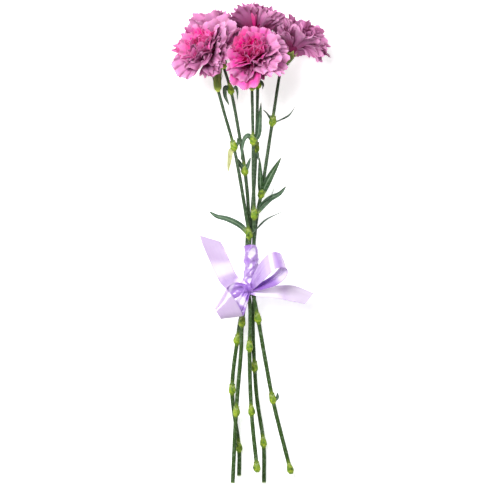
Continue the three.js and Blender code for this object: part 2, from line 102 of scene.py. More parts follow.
class Draw:
    """A repeatable draw of numbers, the same ones that place the solid petals."""

    WORD = 0xFFFFFFFF
    STEP = 0x6D2B79F5

    def __init__(self, seed: int) -> None:
        """Starts the draw at a seed."""
        self.state = seed & self.WORD

    def share(self) -> float:
        """Draws the next number.

        Returns:
            A number from 0 to 1.
        """
        self.state = (self.state + self.STEP) & self.WORD
        mixed = ((self.state ^ (self.state >> 15)) * (self.state | 1)) & self.WORD
        more = ((mixed ^ (mixed >> 7)) * (mixed | 61)) & self.WORD
        mixed ^= (mixed + more) & self.WORD
        return ((mixed ^ (mixed >> 14)) & self.WORD) / (self.WORD + 1)

    def between(self, low: float, high: float) -> float:
        """Returns the next number from low to high."""
        return low + (high - low) * self.share()


class Spline:
    """A smooth line through points: a centripetal Catmull-Rom curve, as the solids follow."""

    NUDGE = 1e-4

    def __init__(self, points: list[Point] | Array) -> None:
        """Keeps the points, with one more beyond each end.

        Args:
            points: Points on the line.
        """
        given = np.array(points, float)
        before = 2 * given[0] - given[1]
        after = 2 * given[-1] - given[-2]
        self.points = np.vstack([before, given, after])
        self.spans = len(given) - 1

    def at(self, shares: Array | float) -> Array:
        """Finds points on the line.

        Args:
            shares: Shares of the way along, from 0 to 1.

        Returns:
            One point for each share.
        """
        place = np.clip(np.atleast_1d(shares), 0, 1) * self.spans
        first = np.minimum(place.astype(int), self.spans - 1)
        t = (place - first)[:, None]
        p0, p1, p2, p3 = (self.points[first + step] for step in range(4))
        d0, d1, d2 = (
            np.sqrt(np.linalg.norm(b - a, axis=1, keepdims=True))
            for a, b in ((p0, p1), (p1, p2), (p2, p3))
        )
        d1 = np.where(d1 < self.NUDGE, 1, d1)
        d0, d2 = np.where(d0 < self.NUDGE, d1, d0), np.where(d2 < self.NUDGE, d1, d2)
        leave = ((p1 - p0) / d0 - (p2 - p0) / (d0 + d1) + (p2 - p1) / d1) * d1
        arrive = ((p2 - p1) / d1 - (p3 - p1) / (d1 + d2) + (p3 - p2) / d2) * d1
        square = 3 * (p2 - p1) - 2 * leave - arrive
        cube = 2 * (p1 - p2) + leave + arrive
        return p1 + t * (leave + t * (square + t * cube))

    def along(self, shares: Array | float) -> Array:
        """Returns the direction of the line at each share."""
        held = np.atleast_1d(shares)
        return unit(self.at(held + self.NUDGE) - self.at(held - self.NUDGE))

    def share_at(self, heights: Array | float) -> Array:
        """Returns the shares at which a rising line reaches heights on Y."""
        dense = np.linspace(0, 1, 4001)
        return np.interp(np.atleast_1d(heights), self.at(dense)[:, 1], dense)


def bezier(ends: list[Array], shares: Array) -> Array:
    """Finds points on a cubic curve.

    Args:
        ends: Four points: the curve's ends, and between them the two that it leans to.
        shares: Shares of the way along, from 0 to 1.

    Returns:
        One point for each share.
    """
    rest = 1 - shares
    weights = [rest**3, 3 * shares * rest**2, 3 * shares**2 * rest, shares**3]
    return sum(weight[:, None] * end for weight, end in zip(weights, ends))


def rings_on(centres: Array, directions: Array, radii: Array, sides: int) -> Array:
    """Places rings of points square to a line.

    Args:
        centres: The middle of each ring.
        directions: The line's direction at each ring.
        radii: A radius for each ring, or for each ring and side.
        sides: The number of points in a ring.

    Returns:
        An array of rings, sides and coordinates.
    """
    across = np.array([1.0, 0.0, 0.0])
    first = unit(across - directions * directions[:, :1])
    second = np.cross(directions, first)
    angle = 2 * np.pi * np.arange(sides) / sides
    wide = np.broadcast_to(np.reshape(radii, (len(centres), -1)), (len(centres), sides))
    spokes = (
        first[:, None] * np.cos(angle)[None, :, None]
        + second[:, None] * np.sin(angle)[None, :, None]
    )
    return centres[:, None] + spokes * wide[..., None]


@dataclass
class Body:
    """The mesh of one piece as it grows, with marks: numbers on its points that its finish reads."""

    points: list[Array] = field(default_factory=list)
    faces: list[tuple[int, ...]] = field(default_factory=list)
    marks: list[dict[str, Array]] = field(default_factory=list)
    count: int = 0

    def add(self, points: Array, faces: list, marks: dict[str, Array | float]) -> None:
        """Adds points with their faces and marks.

        Args:
            points: The new points, one row each.
            faces: Faces, as numbers of the new points.
            marks: A number for all the points, or one for each, under each mark's name.
        """
        self.points.append(points)
        self.faces.extend(tuple(self.count + n for n in face) for face in faces)
        spread = {name: np.broadcast_to(value, len(points)) for name, value in marks.items()}
        self.marks.append(spread)
        self.count += len(points)

    def blade(self, grid: Array, thickness: Array | float, marks: dict[str, Array | float]) -> None:
        """Adds a thin closed blade round a grid of points.

        Args:
            grid: Rows and columns of points in the blade's middle.
            thickness: The blade's thickness, or one for each point of the grid.
            marks: Marks for all the grid, or for each of its points.
        """
        rows, columns = grid.shape[:2]
        out = unit(np.cross(np.gradient(grid, axis=0), np.gradient(grid, axis=1)))
        half = out * (np.broadcast_to(thickness, (rows, columns))[..., None] / 2)
        number = np.arange(rows * columns).reshape(rows, columns)
        under = number + rows * columns
        faces = [
            *self.quads(number[:-1, :-1], number[1:, :-1], number[1:, 1:], number[:-1, 1:]),
            *self.quads(under[:-1, :-1], under[:-1, 1:], under[1:, 1:], under[1:, :-1]),
        ]
        rim = np.concatenate([number[:, 0], number[-1, 1:], number[-2::-1, -1], number[0, -2::-1]])
        faces += self.quads(rim[:-1], rim[:-1] + rows * columns, rim[1:] + rows * columns, rim[1:])
        points = np.concatenate([(grid + half).reshape(-1, 3), (grid - half).reshape(-1, 3)])
        doubled = {
            name: np.tile(np.broadcast_to(value, (rows, columns)).ravel(), 2)
            for name, value in marks.items()
        }
        doubled["back"] = np.repeat([0.0, 1.0], rows * columns)
        self.add(points, faces, doubled)

    def loft(self, rings: Array, marks: dict[str, Array | float]) -> None:
        """Adds a closed body through rings of points.

        Args:
            rings: Rings, each counter-clockwise about the way they run.
            marks: Marks for all the body, or one for each ring and side.
        """
        count, sides = rings.shape[:2]
        number = np.arange(count * sides).reshape(count, sides)
        turned = np.roll(number, -1, axis=1)
        faces = self.quads(number[:-1], turned[:-1], turned[1:], number[1:])
        faces += [tuple(number[0, ::-1].tolist()), tuple(number[-1].tolist())]
        spread = {
            name: np.broadcast_to(value, (count, sides)).ravel() for name, value in marks.items()
        }
        self.add(rings.reshape(-1, 3), faces, spread)

    @staticmethod
    def quads(a: Array, b: Array, c: Array, d: Array) -> list[tuple[int, ...]]:
        """Returns four-sided faces from the numbers of their corners."""
        return [tuple(face) for face in np.stack([a, b, c, d], axis=-1).reshape(-1, 4).tolist()]

    def piece(
        self, name: str, finish: bpy.types.Material, node: str, slot: Slot
    ) -> bpy.types.Object:
        """Makes the Blender object, which rides on the bunch and stands in for a solid.

        Args:
            name: The piece's name.
            finish: Its material.
            node: The solid that it stands in for.
            slot: Not used.

        Returns:
            The new object, in metres.
        """
        mesh = bpy.data.meshes.new(name)
        placed = (np.concatenate(self.points) + SHIFT) * MM
        mesh.from_pydata(placed.tolist(), [], self.faces)
        for mark in sorted({key for marks in self.marks for key in marks}):
            layer = mesh.attributes.new(mark, "FLOAT", "POINT")
            values = [
                marks.get(mark, np.zeros(len(points)))
                for marks, points in zip(self.marks, self.points)
            ]
            layer.data.foreach_set("value", np.concatenate(values).astype(np.float32))
        mesh.polygons.foreach_set("use_smooth", [True] * len(mesh.polygons))
        mesh.set_sharp_from_angle(angle=math.radians(SHARP_ANGLE))
        mesh.materials.append(finish)
        made = bpy.data.objects.new(name, mesh)
        bpy.context.scene.collection.objects.link(made)
        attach(made, BODY)
        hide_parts(node)
        LOG.info("%s: %d faces", made.name, len(mesh.polygons))
        return made


def add_node(
    tree: bpy.types.NodeTree,
    kind: str,
    inputs: dict | None = None,
    settings: dict | None = None,
    stops: list[tuple[float, str]] | None = None,
) -> bpy.types.Node:
    """Adds one node with its settings and links.

    Args:
        tree: The material's nodes.
        kind: Blender's name for the node, without its ShaderNode.
        inputs: A value or another node's output for each input, by name or number.
        settings: The node's own settings.
        stops: Places and colours for a colour ramp.

    Returns:
        The new node.
    """
    node = tree.nodes.new(f"ShaderNode{kind}")
    for name, value in (settings or {}).items():
        setattr(node, name, value)
    for name, value in (inputs or {}).items():
        if isinstance(value, bpy.types.NodeSocket):
            tree.links.new(value, node.inputs[name])
        else:
            node.inputs[name].default_value = value
    for number, (place, colour) in enumerate(stops or []):
        elements = node.color_ramp.elements
        element = elements[number] if number < 2 else elements.new(place)
        element.position = place
        element.color = linear(colour)
    return node


@dataclass(frozen=True)
class Finish:
    """What the finishes share: their gloss and glow, marks read from the mesh, and mixes of colours.

    Relief is the depth of the finest relief, spacing how far apart fine lines are drawn, width the
    breadth that they fill, and soak how far light spreads under the surface, all in millimetres.
    Soaked is the share of light that does so, and soak_tint its red, green and blue.
    """

    name: str = "finish"
    roughness: float = 0.5
    ior: float = 1.45
    specular: float = 0.25
    relief: float = 0.1
    spacing: float = 1.0
    width: float = 10.0
    soaked: float = 0.0
    soak: float = 0.5
    soak_tint: Point = (0.5, 1.0, 0.3)

    def material(self) -> tuple[bpy.types.Material, bpy.types.NodeTree]:
        """Starts an empty material.

        Returns:
            The material and its nodes.
        """
        made = bpy.data.materials.new(self.name)
        made.use_nodes = True
        made.node_tree.nodes.clear()
        return made, made.node_tree

    @staticmethod
    def mark(tree: bpy.types.NodeTree, name: str) -> bpy.types.NodeSocket:
        """Returns a mark of the mesh, as a number."""
        return add_node(tree, "Attribute", settings={"attribute_name": name}).outputs["Fac"]

    @staticmethod
    def ranged(
        tree: bpy.types.NodeTree,
        value: bpy.types.NodeSocket,
        start: float,
        end: float,
        low: float = 0.0,
        high: float = 1.0,
    ) -> bpy.types.NodeSocket:
        """Maps a number from one range to another.

        Args:
            tree: The material's nodes.
            value: The number.
            start: Where the first range starts.
            end: Where it ends.
            low: The result at the start.
            high: The result at the end.

        Returns:
            The mapped number, held within the range.
        """
        inputs = {0: value, 1: start, 2: end, 3: low, 4: high}
        return add_node(tree, "MapRange", inputs).outputs[0]

    @staticmethod
    def sums(
        tree: bpy.types.NodeTree,
        kind: str,
        first: bpy.types.NodeSocket | float,
        second: bpy.types.NodeSocket | float,
        clamp: bool = False,
    ) -> bpy.types.NodeSocket:
        """Works out one sum of two numbers.

        Args:
            tree: The material's nodes.
            kind: The sum, such as ADD or MULTIPLY.
            first: The first number.
            second: The second number.
            clamp: Whether the result is held from 0 to 1.

        Returns:
            The result.
        """
        settings = {"operation": kind, "use_clamp": clamp}
        return add_node(tree, "Math", {0: first, 1: second}, settings).outputs[0]

    @staticmethod
    def mixed(
        tree: bpy.types.NodeTree,
        share: bpy.types.NodeSocket | float,
        first: bpy.types.NodeSocket | tuple,
        second: bpy.types.NodeSocket | tuple,
        blend: str = "MIX",
    ) -> bpy.types.NodeSocket:
        """Mixes two colours.

        Args:
            tree: The material's nodes.
            share: How much of the second colour there is.
            first: The first colour.
            second: The second colour.
            blend: How they mix, such as MIX or MULTIPLY.

        Returns:
            The mixed colour.
        """
        settings = {"data_type": "RGBA", "blend_type": blend}
        return add_node(tree, "Mix", {0: share, 6: first, 7: second}, settings).outputs[2]

    @staticmethod
    def tinted(
        tree: bpy.types.NodeTree,
        colour: bpy.types.NodeSocket | tuple,
        tint: str,
        value: bpy.types.NodeSocket,
        start: float,
        end: float,
        low: float = 0.0,
        high: float = 1.0,
    ) -> bpy.types.NodeSocket:
        """Tints a colour by a number: from the low share at its start to the high one at its end.

        Args:
            tree: The material's nodes.
            colour: The colour.
            tint: The colour that is mixed in.
            value: The number.
            start: Where the number's range starts.
            end: Where it ends.
            low: How much of the tint there is at the start.
            high: How much there is at the end.

        Returns:
            The tinted colour.
        """
        share = Finish.ranged(tree, value, start, end, low, high)
        return Finish.mixed(tree, share, colour, linear(tint))

    @staticmethod
    def patches(tree: bpy.types.NodeTree, size: float, detail: float = 2.0) -> bpy.types.NodeSocket:
        """Makes soft uneven patches in space.

        Args:
            tree: The material's nodes.
            size: The size of a patch in millimetres.
            detail: How many finer layers it has.

        Returns:
            A number from 0 to 1.
        """
        place = add_node(tree, "TexCoord").outputs["Object"]
        inputs = {"Vector": place, "Scale": 1 / (size * MM), "Detail": detail}
        return add_node(tree, "TexNoise", inputs).outputs["Fac"]

    def streaks(
        self,
        tree: bpy.types.NodeTree,
        across: bpy.types.NodeSocket,
        along: bpy.types.NodeSocket,
        stretch: float,
        shift: bpy.types.NodeSocket | float = 0.0,
    ) -> bpy.types.NodeSocket:
        """Makes uneven lines that run along a blade.

        Args:
            tree: The material's nodes.
            across: The place across the blade, from -1 to 1.
            along: The place along it, from 0 to 1.
            stretch: How many times a line changes along the blade.
            shift: A number that makes one blade's lines unlike another's.

        Returns:
            A number from 0 to 1.
        """
        lines = round(self.width / self.spacing)
        wide = self.sums(tree, "MULTIPLY", across, lines / 2)
        long = self.sums(tree, "MULTIPLY", along, stretch)
        apart = self.sums(tree, "MULTIPLY", shift, 40.0)
        place = add_node(tree, "CombineXYZ", {0: wide, 1: long, 2: apart}).outputs[0]
        inputs = {"Vector": place, "Scale": 1.0, "Detail": 1.5}
        return add_node(tree, "TexNoise", inputs).outputs["Fac"]

    def surface(
        self,
        tree: bpy.types.NodeTree,
        colour: bpy.types.NodeSocket,
        height: bpy.types.NodeSocket,
        more: dict | None = None,
    ) -> None:
        """Ends a material with its shader.

        Args:
            tree: The material's nodes.
            colour: The base colour.
            height: The height of the fine relief, from 0 to 1.
            more: Values for inputs of the shader that this finish alone sets.
        """
        bump_inputs = {"Height": height, "Distance": self.relief * MM, "Strength": 1.0}
        bump = add_node(tree, "Bump", bump_inputs).outputs["Normal"]
        inputs = {
            "Base Color": colour,
            "Normal": bump,
            "Roughness": self.roughness,
            "IOR": self.ior,
            "Specular IOR Level": self.specular,
            "Subsurface Weight": self.soaked,
            "Subsurface Radius": self.soak_tint,
            "Subsurface Scale": self.soak * MM,
            **(more or {}),
        }
        principled = add_node(tree, "BsdfPrincipled", inputs).outputs["BSDF"]
        add_node(tree, "OutputMaterial", {"Surface": principled})


@dataclass(frozen=True)
class PetalFinish(Finish):
    """Carnation petal, grown: thin tissue of fine round cells, which is matt like soft paper.

    The sap colours it hot pink near the claw and in the young heart, and it pales to mauve
    towards the rim and on the back.
    """

    name: str = "carnation_petal"
    dusky: str = "#C98AB6"
    mauve: str = "#D07AB2"
    pink: str = "#EA52AE"
    hot: str = "#F20690"
    rim: str = "#F7B2DC"
    back: str = "#C27DAE"
    vein: str = "#9A3F7E"
    # The colour of the painted shade in the pleats' valleys
    valley: str = "#8A1A58"
    shadow: str = "#8E2E66"
    # Real veins are 0.5 mm apart, too fine to show, so they are drawn 1.5 mm apart on a 51 mm rim
    spacing: float = 1.5
    width: float = 51
    patch: float = 7
    relief: float = 0.12
    # Live tissue is wet inside, with an index near water's, and its dull skin gives hardly any gloss
    ior: float = 1.42
    specular: float = 0.05
    soaked: float = 0.2
    soak: float = 1.0
    soak_tint: Point = (1.0, 0.35, 0.95)
    # How mauve (0) or hot (1) a petal is, below and above which its rim and shade change no more
    cool_blush: float = 0.3
    hot_blush: float = 0.9

    def by_blush(
        self, tree: bpy.types.NodeTree, cool: float, hot: float
    ) -> bpy.types.NodeSocket:
        """Returns a number that runs from one value on mauve petals to another on hot ones."""
        blush = self.mark(tree, "blush")
        return self.ranged(tree, blush, self.cool_blush, self.hot_blush, cool, hot)

    def sap(self, tree: bpy.types.NodeTree, along: bpy.types.NodeSocket) -> bpy.types.NodeSocket:
        """Colours a petal by its blush, hotter at the claw and unevenly so.

        Args:
            tree: The material's nodes.
            along: The place along the petal, from 0 to 1.

        Returns:
            The colour.
        """
        patches = self.patches(tree, self.patch)
        claw = self.ranged(tree, along, 0.25, 0.9, 0.34, -0.08)
        uneven = self.ranged(tree, patches, 0.3, 0.7, -0.14, 0.14)
        heat = self.sums(tree, "ADD", self.sums(tree, "ADD", self.mark(tree, "blush"), claw), uneven)
        ramp = [(0.0, self.dusky), (0.3, self.mauve), (0.62, self.pink), (0.95, self.hot)]
        return add_node(tree, "ValToRGB", {0: heat}, stops=ramp).outputs["Color"]

    def build(self) -> bpy.types.Material:
        """Builds the petals' material.

        Returns:
            The material.
        """
        made, tree = self.material()
        along = self.mark(tree, "along")
        tone = self.mark(tree, "tone")
        veins = self.streaks(tree, self.mark(tree, "across"), along, 2.0, tone)
        colour = self.sap(tree, along)
        # The rim is pale, more so on a mauve petal, and the back is dull
        mauve = self.by_blush(tree, 1.0, 0.3)
        pale = self.ranged(tree, along, 0.88, 1.0)
        pale = self.sums(tree, "MULTIPLY", pale, self.by_blush(tree, 0.75, 0.24))
        colour = self.mixed(tree, pale, colour, linear(self.rim))
        dull = self.by_blush(tree, 0.55, 0.12)
        dull = self.sums(tree, "MULTIPLY", self.mark(tree, "back"), dull)
        colour = self.mixed(tree, dull, colour, linear(self.back))
        colour = self.tinted(tree, colour, self.vein, veins, 0.55, 0.8, 0.0, 0.16)
        # Painted shade: the pleats' valleys are multiplied towards deep magenta, less so on hot petals
        deep = self.ranged(tree, self.mark(tree, "fold"), 0.25, 1.0, 0.0, 0.85)
        mild = self.ranged(tree, self.mark(tree, "blush"), 0.35, 0.9, 1.0, 0.8)
        deep = self.sums(tree, "MULTIPLY", deep, mild)
        colour = self.mixed(tree, deep, colour, linear(self.valley), "MULTIPLY")
        # One petal in two is faded and the others are darker, a tone that differs at random; painted shade
        # darkens all of them near the throat
        light = self.ranged(tree, tone, 0.5, 1.0, 0.0, 0.6)
        light = self.sums(tree, "MULTIPLY", light, mauve)
        light = self.sums(tree, "MULTIPLY", light, self.ranged(tree, along, 0.4, 0.9))
        colour = self.mixed(tree, light, colour, linear(self.rim))
        dark = self.ranged(tree, tone, 0.0, 0.5, 0.7, 0.0)
        dark = self.sums(tree, "MULTIPLY", dark, mauve)
        throat = self.ranged(tree, along, 0.35, 0.8, 0.6, 0.0)
        dark = self.sums(tree, "ADD", dark, throat, True)
        colour = self.mixed(tree, dark, colour, linear(self.shadow), "MULTIPLY")
        self.surface(tree, colour, veins)
        return made


@dataclass(frozen=True)
class StalkFinish(Finish):
    """Carnation stem, grown: green skin under a grey wax bloom, which dulls it unevenly."""

    name: str = "waxed_stem"
    low: str = "#36541E"
    high: str = "#3F543B"
    shade: str = "#16290F"
    wax: str = "#7C9374"
    joint: str = "#B3C83E"
    joint_base: str = "#5E8A1E"
    lip: str = "#D3DB96"
    cut: str = "#9DB673"
    # The skin's fine lines are 0.2 mm apart, drawn twice as coarse on each half of a 15 mm girth
    spacing: float = 0.42
    width: float = 7.5
    patch: float = 3
    relief: float = 0.08
    soaked: float = 0.04

    def build(self) -> bpy.types.Material:
        """Builds the stems' material.

        Returns:
            The material.
        """
        made, tree = self.material()
        height = self.mark(tree, "height")
        around = self.mark(tree, "around")
        lines = self.streaks(tree, around, height, 26.0, self.mark(tree, "tone"))
        patches = self.patches(tree, self.patch, 3.0)
        colour = self.tinted(tree, linear(self.low), self.high, height, 0.3, 0.8)
        colour = self.tinted(tree, colour, self.shade, lines, 0.5, 0.75, 0.0, 0.55)
        colour = self.tinted(tree, colour, self.wax, patches, 0.48, 0.72, 0.0, 0.5)
        joint = self.mark(tree, "joint")
        yellow = self.tinted(tree, linear(self.joint), self.joint_base, patches, 0.35, 0.65)
        colour = self.mixed(tree, joint, colour, yellow)
        lip = self.sums(tree, "MULTIPLY", self.mark(tree, "lip"), 0.5)
        colour = self.mixed(tree, lip, colour, linear(self.lip))
        # Darker round the bud, and painted shade on the inner wall of the sheath's cup
        eye = self.sums(tree, "MULTIPLY", self.mark(tree, "eye"), 0.85)
        colour = self.mixed(tree, eye, colour, linear(self.shade))
        colour = self.mixed(tree, self.mark(tree, "cut"), colour, linear(self.cut))
        self.surface(tree, colour, lines)
        return made


@dataclass(frozen=True)
class LeafFinish(Finish):
    """Carnation leaf, grown: a stiff narrow blade, blue-grey with wax, with lines that run along it."""

    name: str = "waxed_leaf"
    blade: str = "#46604A"
    green: str = "#2B4B22"
    wax: str = "#809880"
    midrib: str = "#A9C2A0"
    base: str = "#B4C86A"
    tip: str = "#6E6A52"
    wilted: str = "#BFC188"
    spots: str = "#8C7D3F"
    # The lines along a leaf are 0.4 mm apart, drawn 0.9 mm apart on a 6 mm blade
    spacing: float = 0.9
    width: float = 6
    patch: float = 4
    soaked: float = 0.05
    soak: float = 0.6

    def build(self) -> bpy.types.Material:
        """Builds the leaves' material.

        Returns:
            The material.
        """
        made, tree = self.material()
        along = self.mark(tree, "along")
        across = self.mark(tree, "across")
        lines = self.streaks(tree, across, along, 3.0, self.mark(tree, "tone"))
        patches = self.patches(tree, self.patch, 3.0)
        colour = self.mixed(tree, self.mark(tree, "fresh"), linear(self.blade), linear(self.green))
        colour = self.tinted(tree, colour, self.wax, patches, 0.45, 0.7, 0.0, 0.4)
        colour = self.tinted(tree, colour, self.green, lines, 0.5, 0.75, 0.0, 0.3)
        off_rib = self.sums(tree, "ABSOLUTE", across, 0.0)
        colour = self.tinted(tree, colour, self.midrib, off_rib, 0.05, 0.22, 0.45, 0.0)
        colour = self.tinted(tree, colour, self.base, along, 0.04, 0.22, 0.85, 0.0)
        colour = self.tinted(tree, colour, self.tip, along, 0.93, 1.0, 0.0, 0.6)
        dry = self.tinted(tree, linear(self.wilted), self.spots, patches, 0.6, 0.68, 0.0, 0.7)
        colour = self.mixed(tree, self.mark(tree, "wilt"), colour, dry)
        self.surface(tree, colour, lines)
        return made


@dataclass(frozen=True)
class CalyxFinish(Finish):
    """Carnation calyx, grown: a smooth leathery green tube with fine ribs, paler at its teeth."""

    name: str = "ribbed_calyx"
    wall: str = "#6E832E"
    rib: str = "#3E5A1C"
    tooth: str = "#C3D273"
    foot: str = "#C4D65C"
    # The ribs are 0.5 mm apart, on each half of a 34 mm girth
    spacing: float = 0.5
    width: float = 17
    roughness: float = 0.42
    specular: float = 0.45
    relief: float = 0.12
    soaked: float = 0.06
    soak: float = 0.8

    def build(self) -> bpy.types.Material:
        """Builds the calyxes' material.

        Returns:
            The material.
        """
        made, tree = self.material()
        along = self.mark(tree, "along")
        around = self.mark(tree, "around")
        ribs = self.streaks(tree, around, along, 1.2, self.mark(tree, "tone"))
        colour = self.tinted(tree, linear(self.wall), self.rib, ribs, 0.45, 0.7, 0.0, 0.8)
        colour = self.tinted(tree, colour, self.foot, along, 0.05, 0.35, 0.9, 0.0)
        colour = self.tinted(tree, colour, self.tooth, along, 0.85, 1.0, 0.0, 0.8)
        self.surface(tree, colour, ribs)
        return made


@dataclass(frozen=True)
class SatinFinish(Finish):
    """Polyester satin ribbon with long floats, which shines in broad bands; its highlights and shade are
    partly painted.
    """

    name: str = "lilac_satin"
    face: str = "#D0BBDD"
    # fold tints the threads' streaks, and is also the colour of the painted shade
    fold: str = "#9A62CC"
    selvedge: str = "#BD9AD6"
    # The colour of the highlights painted where the satin faces the light
    gleam: str = "#FBF4FF"
    sheen: str = "#F3E6FF"
    # Threads are 0.12 mm apart, far too fine to show, so they are drawn 0.7 mm apart on 25 mm
    spacing: float = 0.7
    width: float = 25
    # How far the back, with the painted shade on the loops' insides, turns towards fold
    inside: float = 0.6
    # Crumpled satin lies in flats about 6 mm wide and up to 1.6 mm deep, and its weave is 0.03 mm deep
    flat: float = 6.0
    relief: float = 1.6
    weave: float = 0.03
    # Polyester's index is high, and its smooth parallel floats stretch each highlight across them
    roughness: float = 0.32
    ior: float = 1.55
    specular: float = 1.0
    anisotropy: float = 0.75
    # Loose fibre ends give it a faint sheen where it turns away
    sheen_weight: float = 0.2
    sheen_roughness: float = 0.3
    soaked: float = 0.2
    soak: float = 0.6
    soak_tint: Point = (1.0, 0.8, 1.0)

    def build(self) -> bpy.types.Material:
        """Builds the ribbon's material.

        Returns:
            The material.
        """
        made, tree = self.material()
        along = self.mark(tree, "along")
        across = self.mark(tree, "across")
        threads = self.streaks(tree, across, along, 1.0)
        # The crumples are cells of one height each, which the mesh fades out where the satin is smooth
        place = add_node(tree, "TexCoord").outputs["Object"]
        flats = {"Vector": place, "Scale": 1 / (self.flat * MM), "Randomness": 1.0}
        flat = add_node(tree, "TexVoronoi", flats).outputs["Distance"]
        crumple = self.sums(tree, "MULTIPLY", flat, self.mark(tree, "crumpled"))
        weave = self.sums(tree, "MULTIPLY", threads, self.weave / self.relief)
        colour = self.tinted(tree, linear(self.face), self.fold, threads, 0.4, 0.75, 0.0, 0.12)
        # Painted shade, mixed in where the satin is gathered, crumpled into hollows or turns away
        colour = self.mixed(tree, self.mark(tree, "gather"), colour, linear(self.fold))
        # Its back is duller than its face, and the same mix paints shade on the insides of the loops
        back_and_loop_shade = self.sums(tree, "SUBTRACT", self.mark(tree, "back"), self.mark(tree, "turned"))
        back_and_loop_shade = self.sums(tree, "MULTIPLY", self.sums(tree, "ABSOLUTE", back_and_loop_shade, 0.0), self.inside)
        colour = self.mixed(tree, back_and_loop_shade, colour, linear(self.fold))
        # Painted highlight, mixed in where the marks say the satin faces the light
        colour = self.mixed(tree, self.mark(tree, "gleam"), colour, linear(self.gleam))
        way = {number: self.mark(tree, f"way_{axis}") for number, axis in enumerate("xyz")}
        across_way = add_node(tree, "CombineXYZ", way).outputs[0]
        edge = self.sums(tree, "ABSOLUTE", across, 0.0)
        colour = self.tinted(tree, colour, self.selvedge, edge, 0.93, 0.96, 0.0, 0.6)
        gloss = {
            "Anisotropic": self.anisotropy,
            "Tangent": across_way,
            "Sheen Weight": self.sheen_weight,
            "Sheen Roughness": self.sheen_roughness,
            "Sheen Tint": linear(self.sheen),
        }
        self.surface(tree, colour, self.sums(tree, "ADD", crumple, weave), gloss)
        return made


@dataclass(frozen=True)
class SurfaceFinish(Finish):
    """Opal acrylic light table, cast: an even pale surface, faintly lit from below, with soft shadows."""

    name: str = "opal_light_table"
    face: str = "#FAFAFA"
    grain: str = "#F4F4F5"
    glow: float = 0.6
    patch: float = 3.0
    roughness: float = 0.9
    ior: float = 1.5
    specular: float = 0.1
    relief: float = 0.01

    def build(self) -> bpy.types.Material:
        """Builds the surface's material.

        Returns:
            The material.
        """
        made, tree = self.material()
        grain = self.patches(tree, self.patch)
        colour = self.mixed(tree, grain, linear(self.face), linear(self.grain))
        lit = {"Emission Color": linear(self.face), "Emission Strength": self.glow}
        self.surface(tree, colour, grain, lit)
        return made


@dataclass(frozen=True)
class Leaf:
    """One leaf: its joint's height, its points after the root, its width and its turn in degrees.

    Fresh is how bright a green it is, and wilt how dry.
    """

    joint: float
    points: tuple[Point, ...]
    width: float
    turn: float
    fresh: float = 0.0
    wilt: float = 0.0


@dataclass(frozen=True)
class Limit:
    """A plane that a bloom gives way to: how far above it the first petal stays, and each next one.

    Spare is how much of a petal may lie beyond the plane before it is drawn shorter, where 1 is none.
    """

    point: Point
    normal: Point
    low: float = 0.0
    layer: float = 0.85
    spare: float = 1.15


@dataclass(frozen=True)
class Extra:
    """One more petal where the others leave a gap in the bloom's outline.

    Way is where it grows to, and reach a share of the usual length. Its bend back, its roll about
    its own middle and its spread to each side are in degrees.
    """

    way: Point
    bend: float
    reach: float = 1.0
    roll: float = 0.0
    spread: float = 34.0


@dataclass(frozen=True)
class Flower:
    """Where one carnation lies: its stem's points, joints and leaves, and its bloom's place and turn.

    Open is how far the outermost petals bend back, in degrees, and reach is a share of their usual
    length. Streak is the way in which one narrow hot pink petal shows. Heat is how hot a pink its
    heart is, and flush the same for its outer petals, which are hotter towards warm and more mauve
    away from it.
    """

    name: str
    low: tuple[Point, ...]
    bundle_angle: float
    high: tuple[Point, ...]
    joints: tuple[float, ...]
    leaves: tuple[Leaf, ...]
    throat: Point
    axis: Point
    hang: Point
    seed: int
    limits: tuple[Limit, ...] = ()
    extra: tuple[Extra, ...] = ()
    streak: Point | None = None
    warm: Point = (0.0, 0.0, 0.0)
    open: float = 122
    reach: float = 1.0
    heat: float = 0.5
    flush: float = 0.2

    HEART = 10.0

    def heart(self) -> Array:
        """Returns the middle of the bloom."""
        return np.array(self.throat) + unit(np.array(self.axis)) * self.HEART


@dataclass(frozen=True)
class Bundle:
    """The five stems round one line, slightly twisted, where the ribbon holds them."""

    x: float = 0.8
    z: float = 27.0
    waist: float = -27.0
    radius: float = 4.28
    twist_per_mm: float = 0.6
    heights: tuple[float, ...] = (-50.0, -27.0, -2.0)

    def point(self, angle: float, y: float) -> Point:
        """Returns a stem's place, at an angle from straight up, turning as it goes down."""
        turned = math.radians(angle + self.twist_per_mm * (self.waist - y))
        return (self.x + self.radius * math.sin(turned), y, self.z + self.radius * math.cos(turned))

    def curve(self, flower: Flower) -> Spline:
        """Returns the whole line of a flower's stem."""
        held = [self.point(flower.bundle_angle, y) for y in self.heights]
        return Spline([*flower.low, *held, *flower.high])


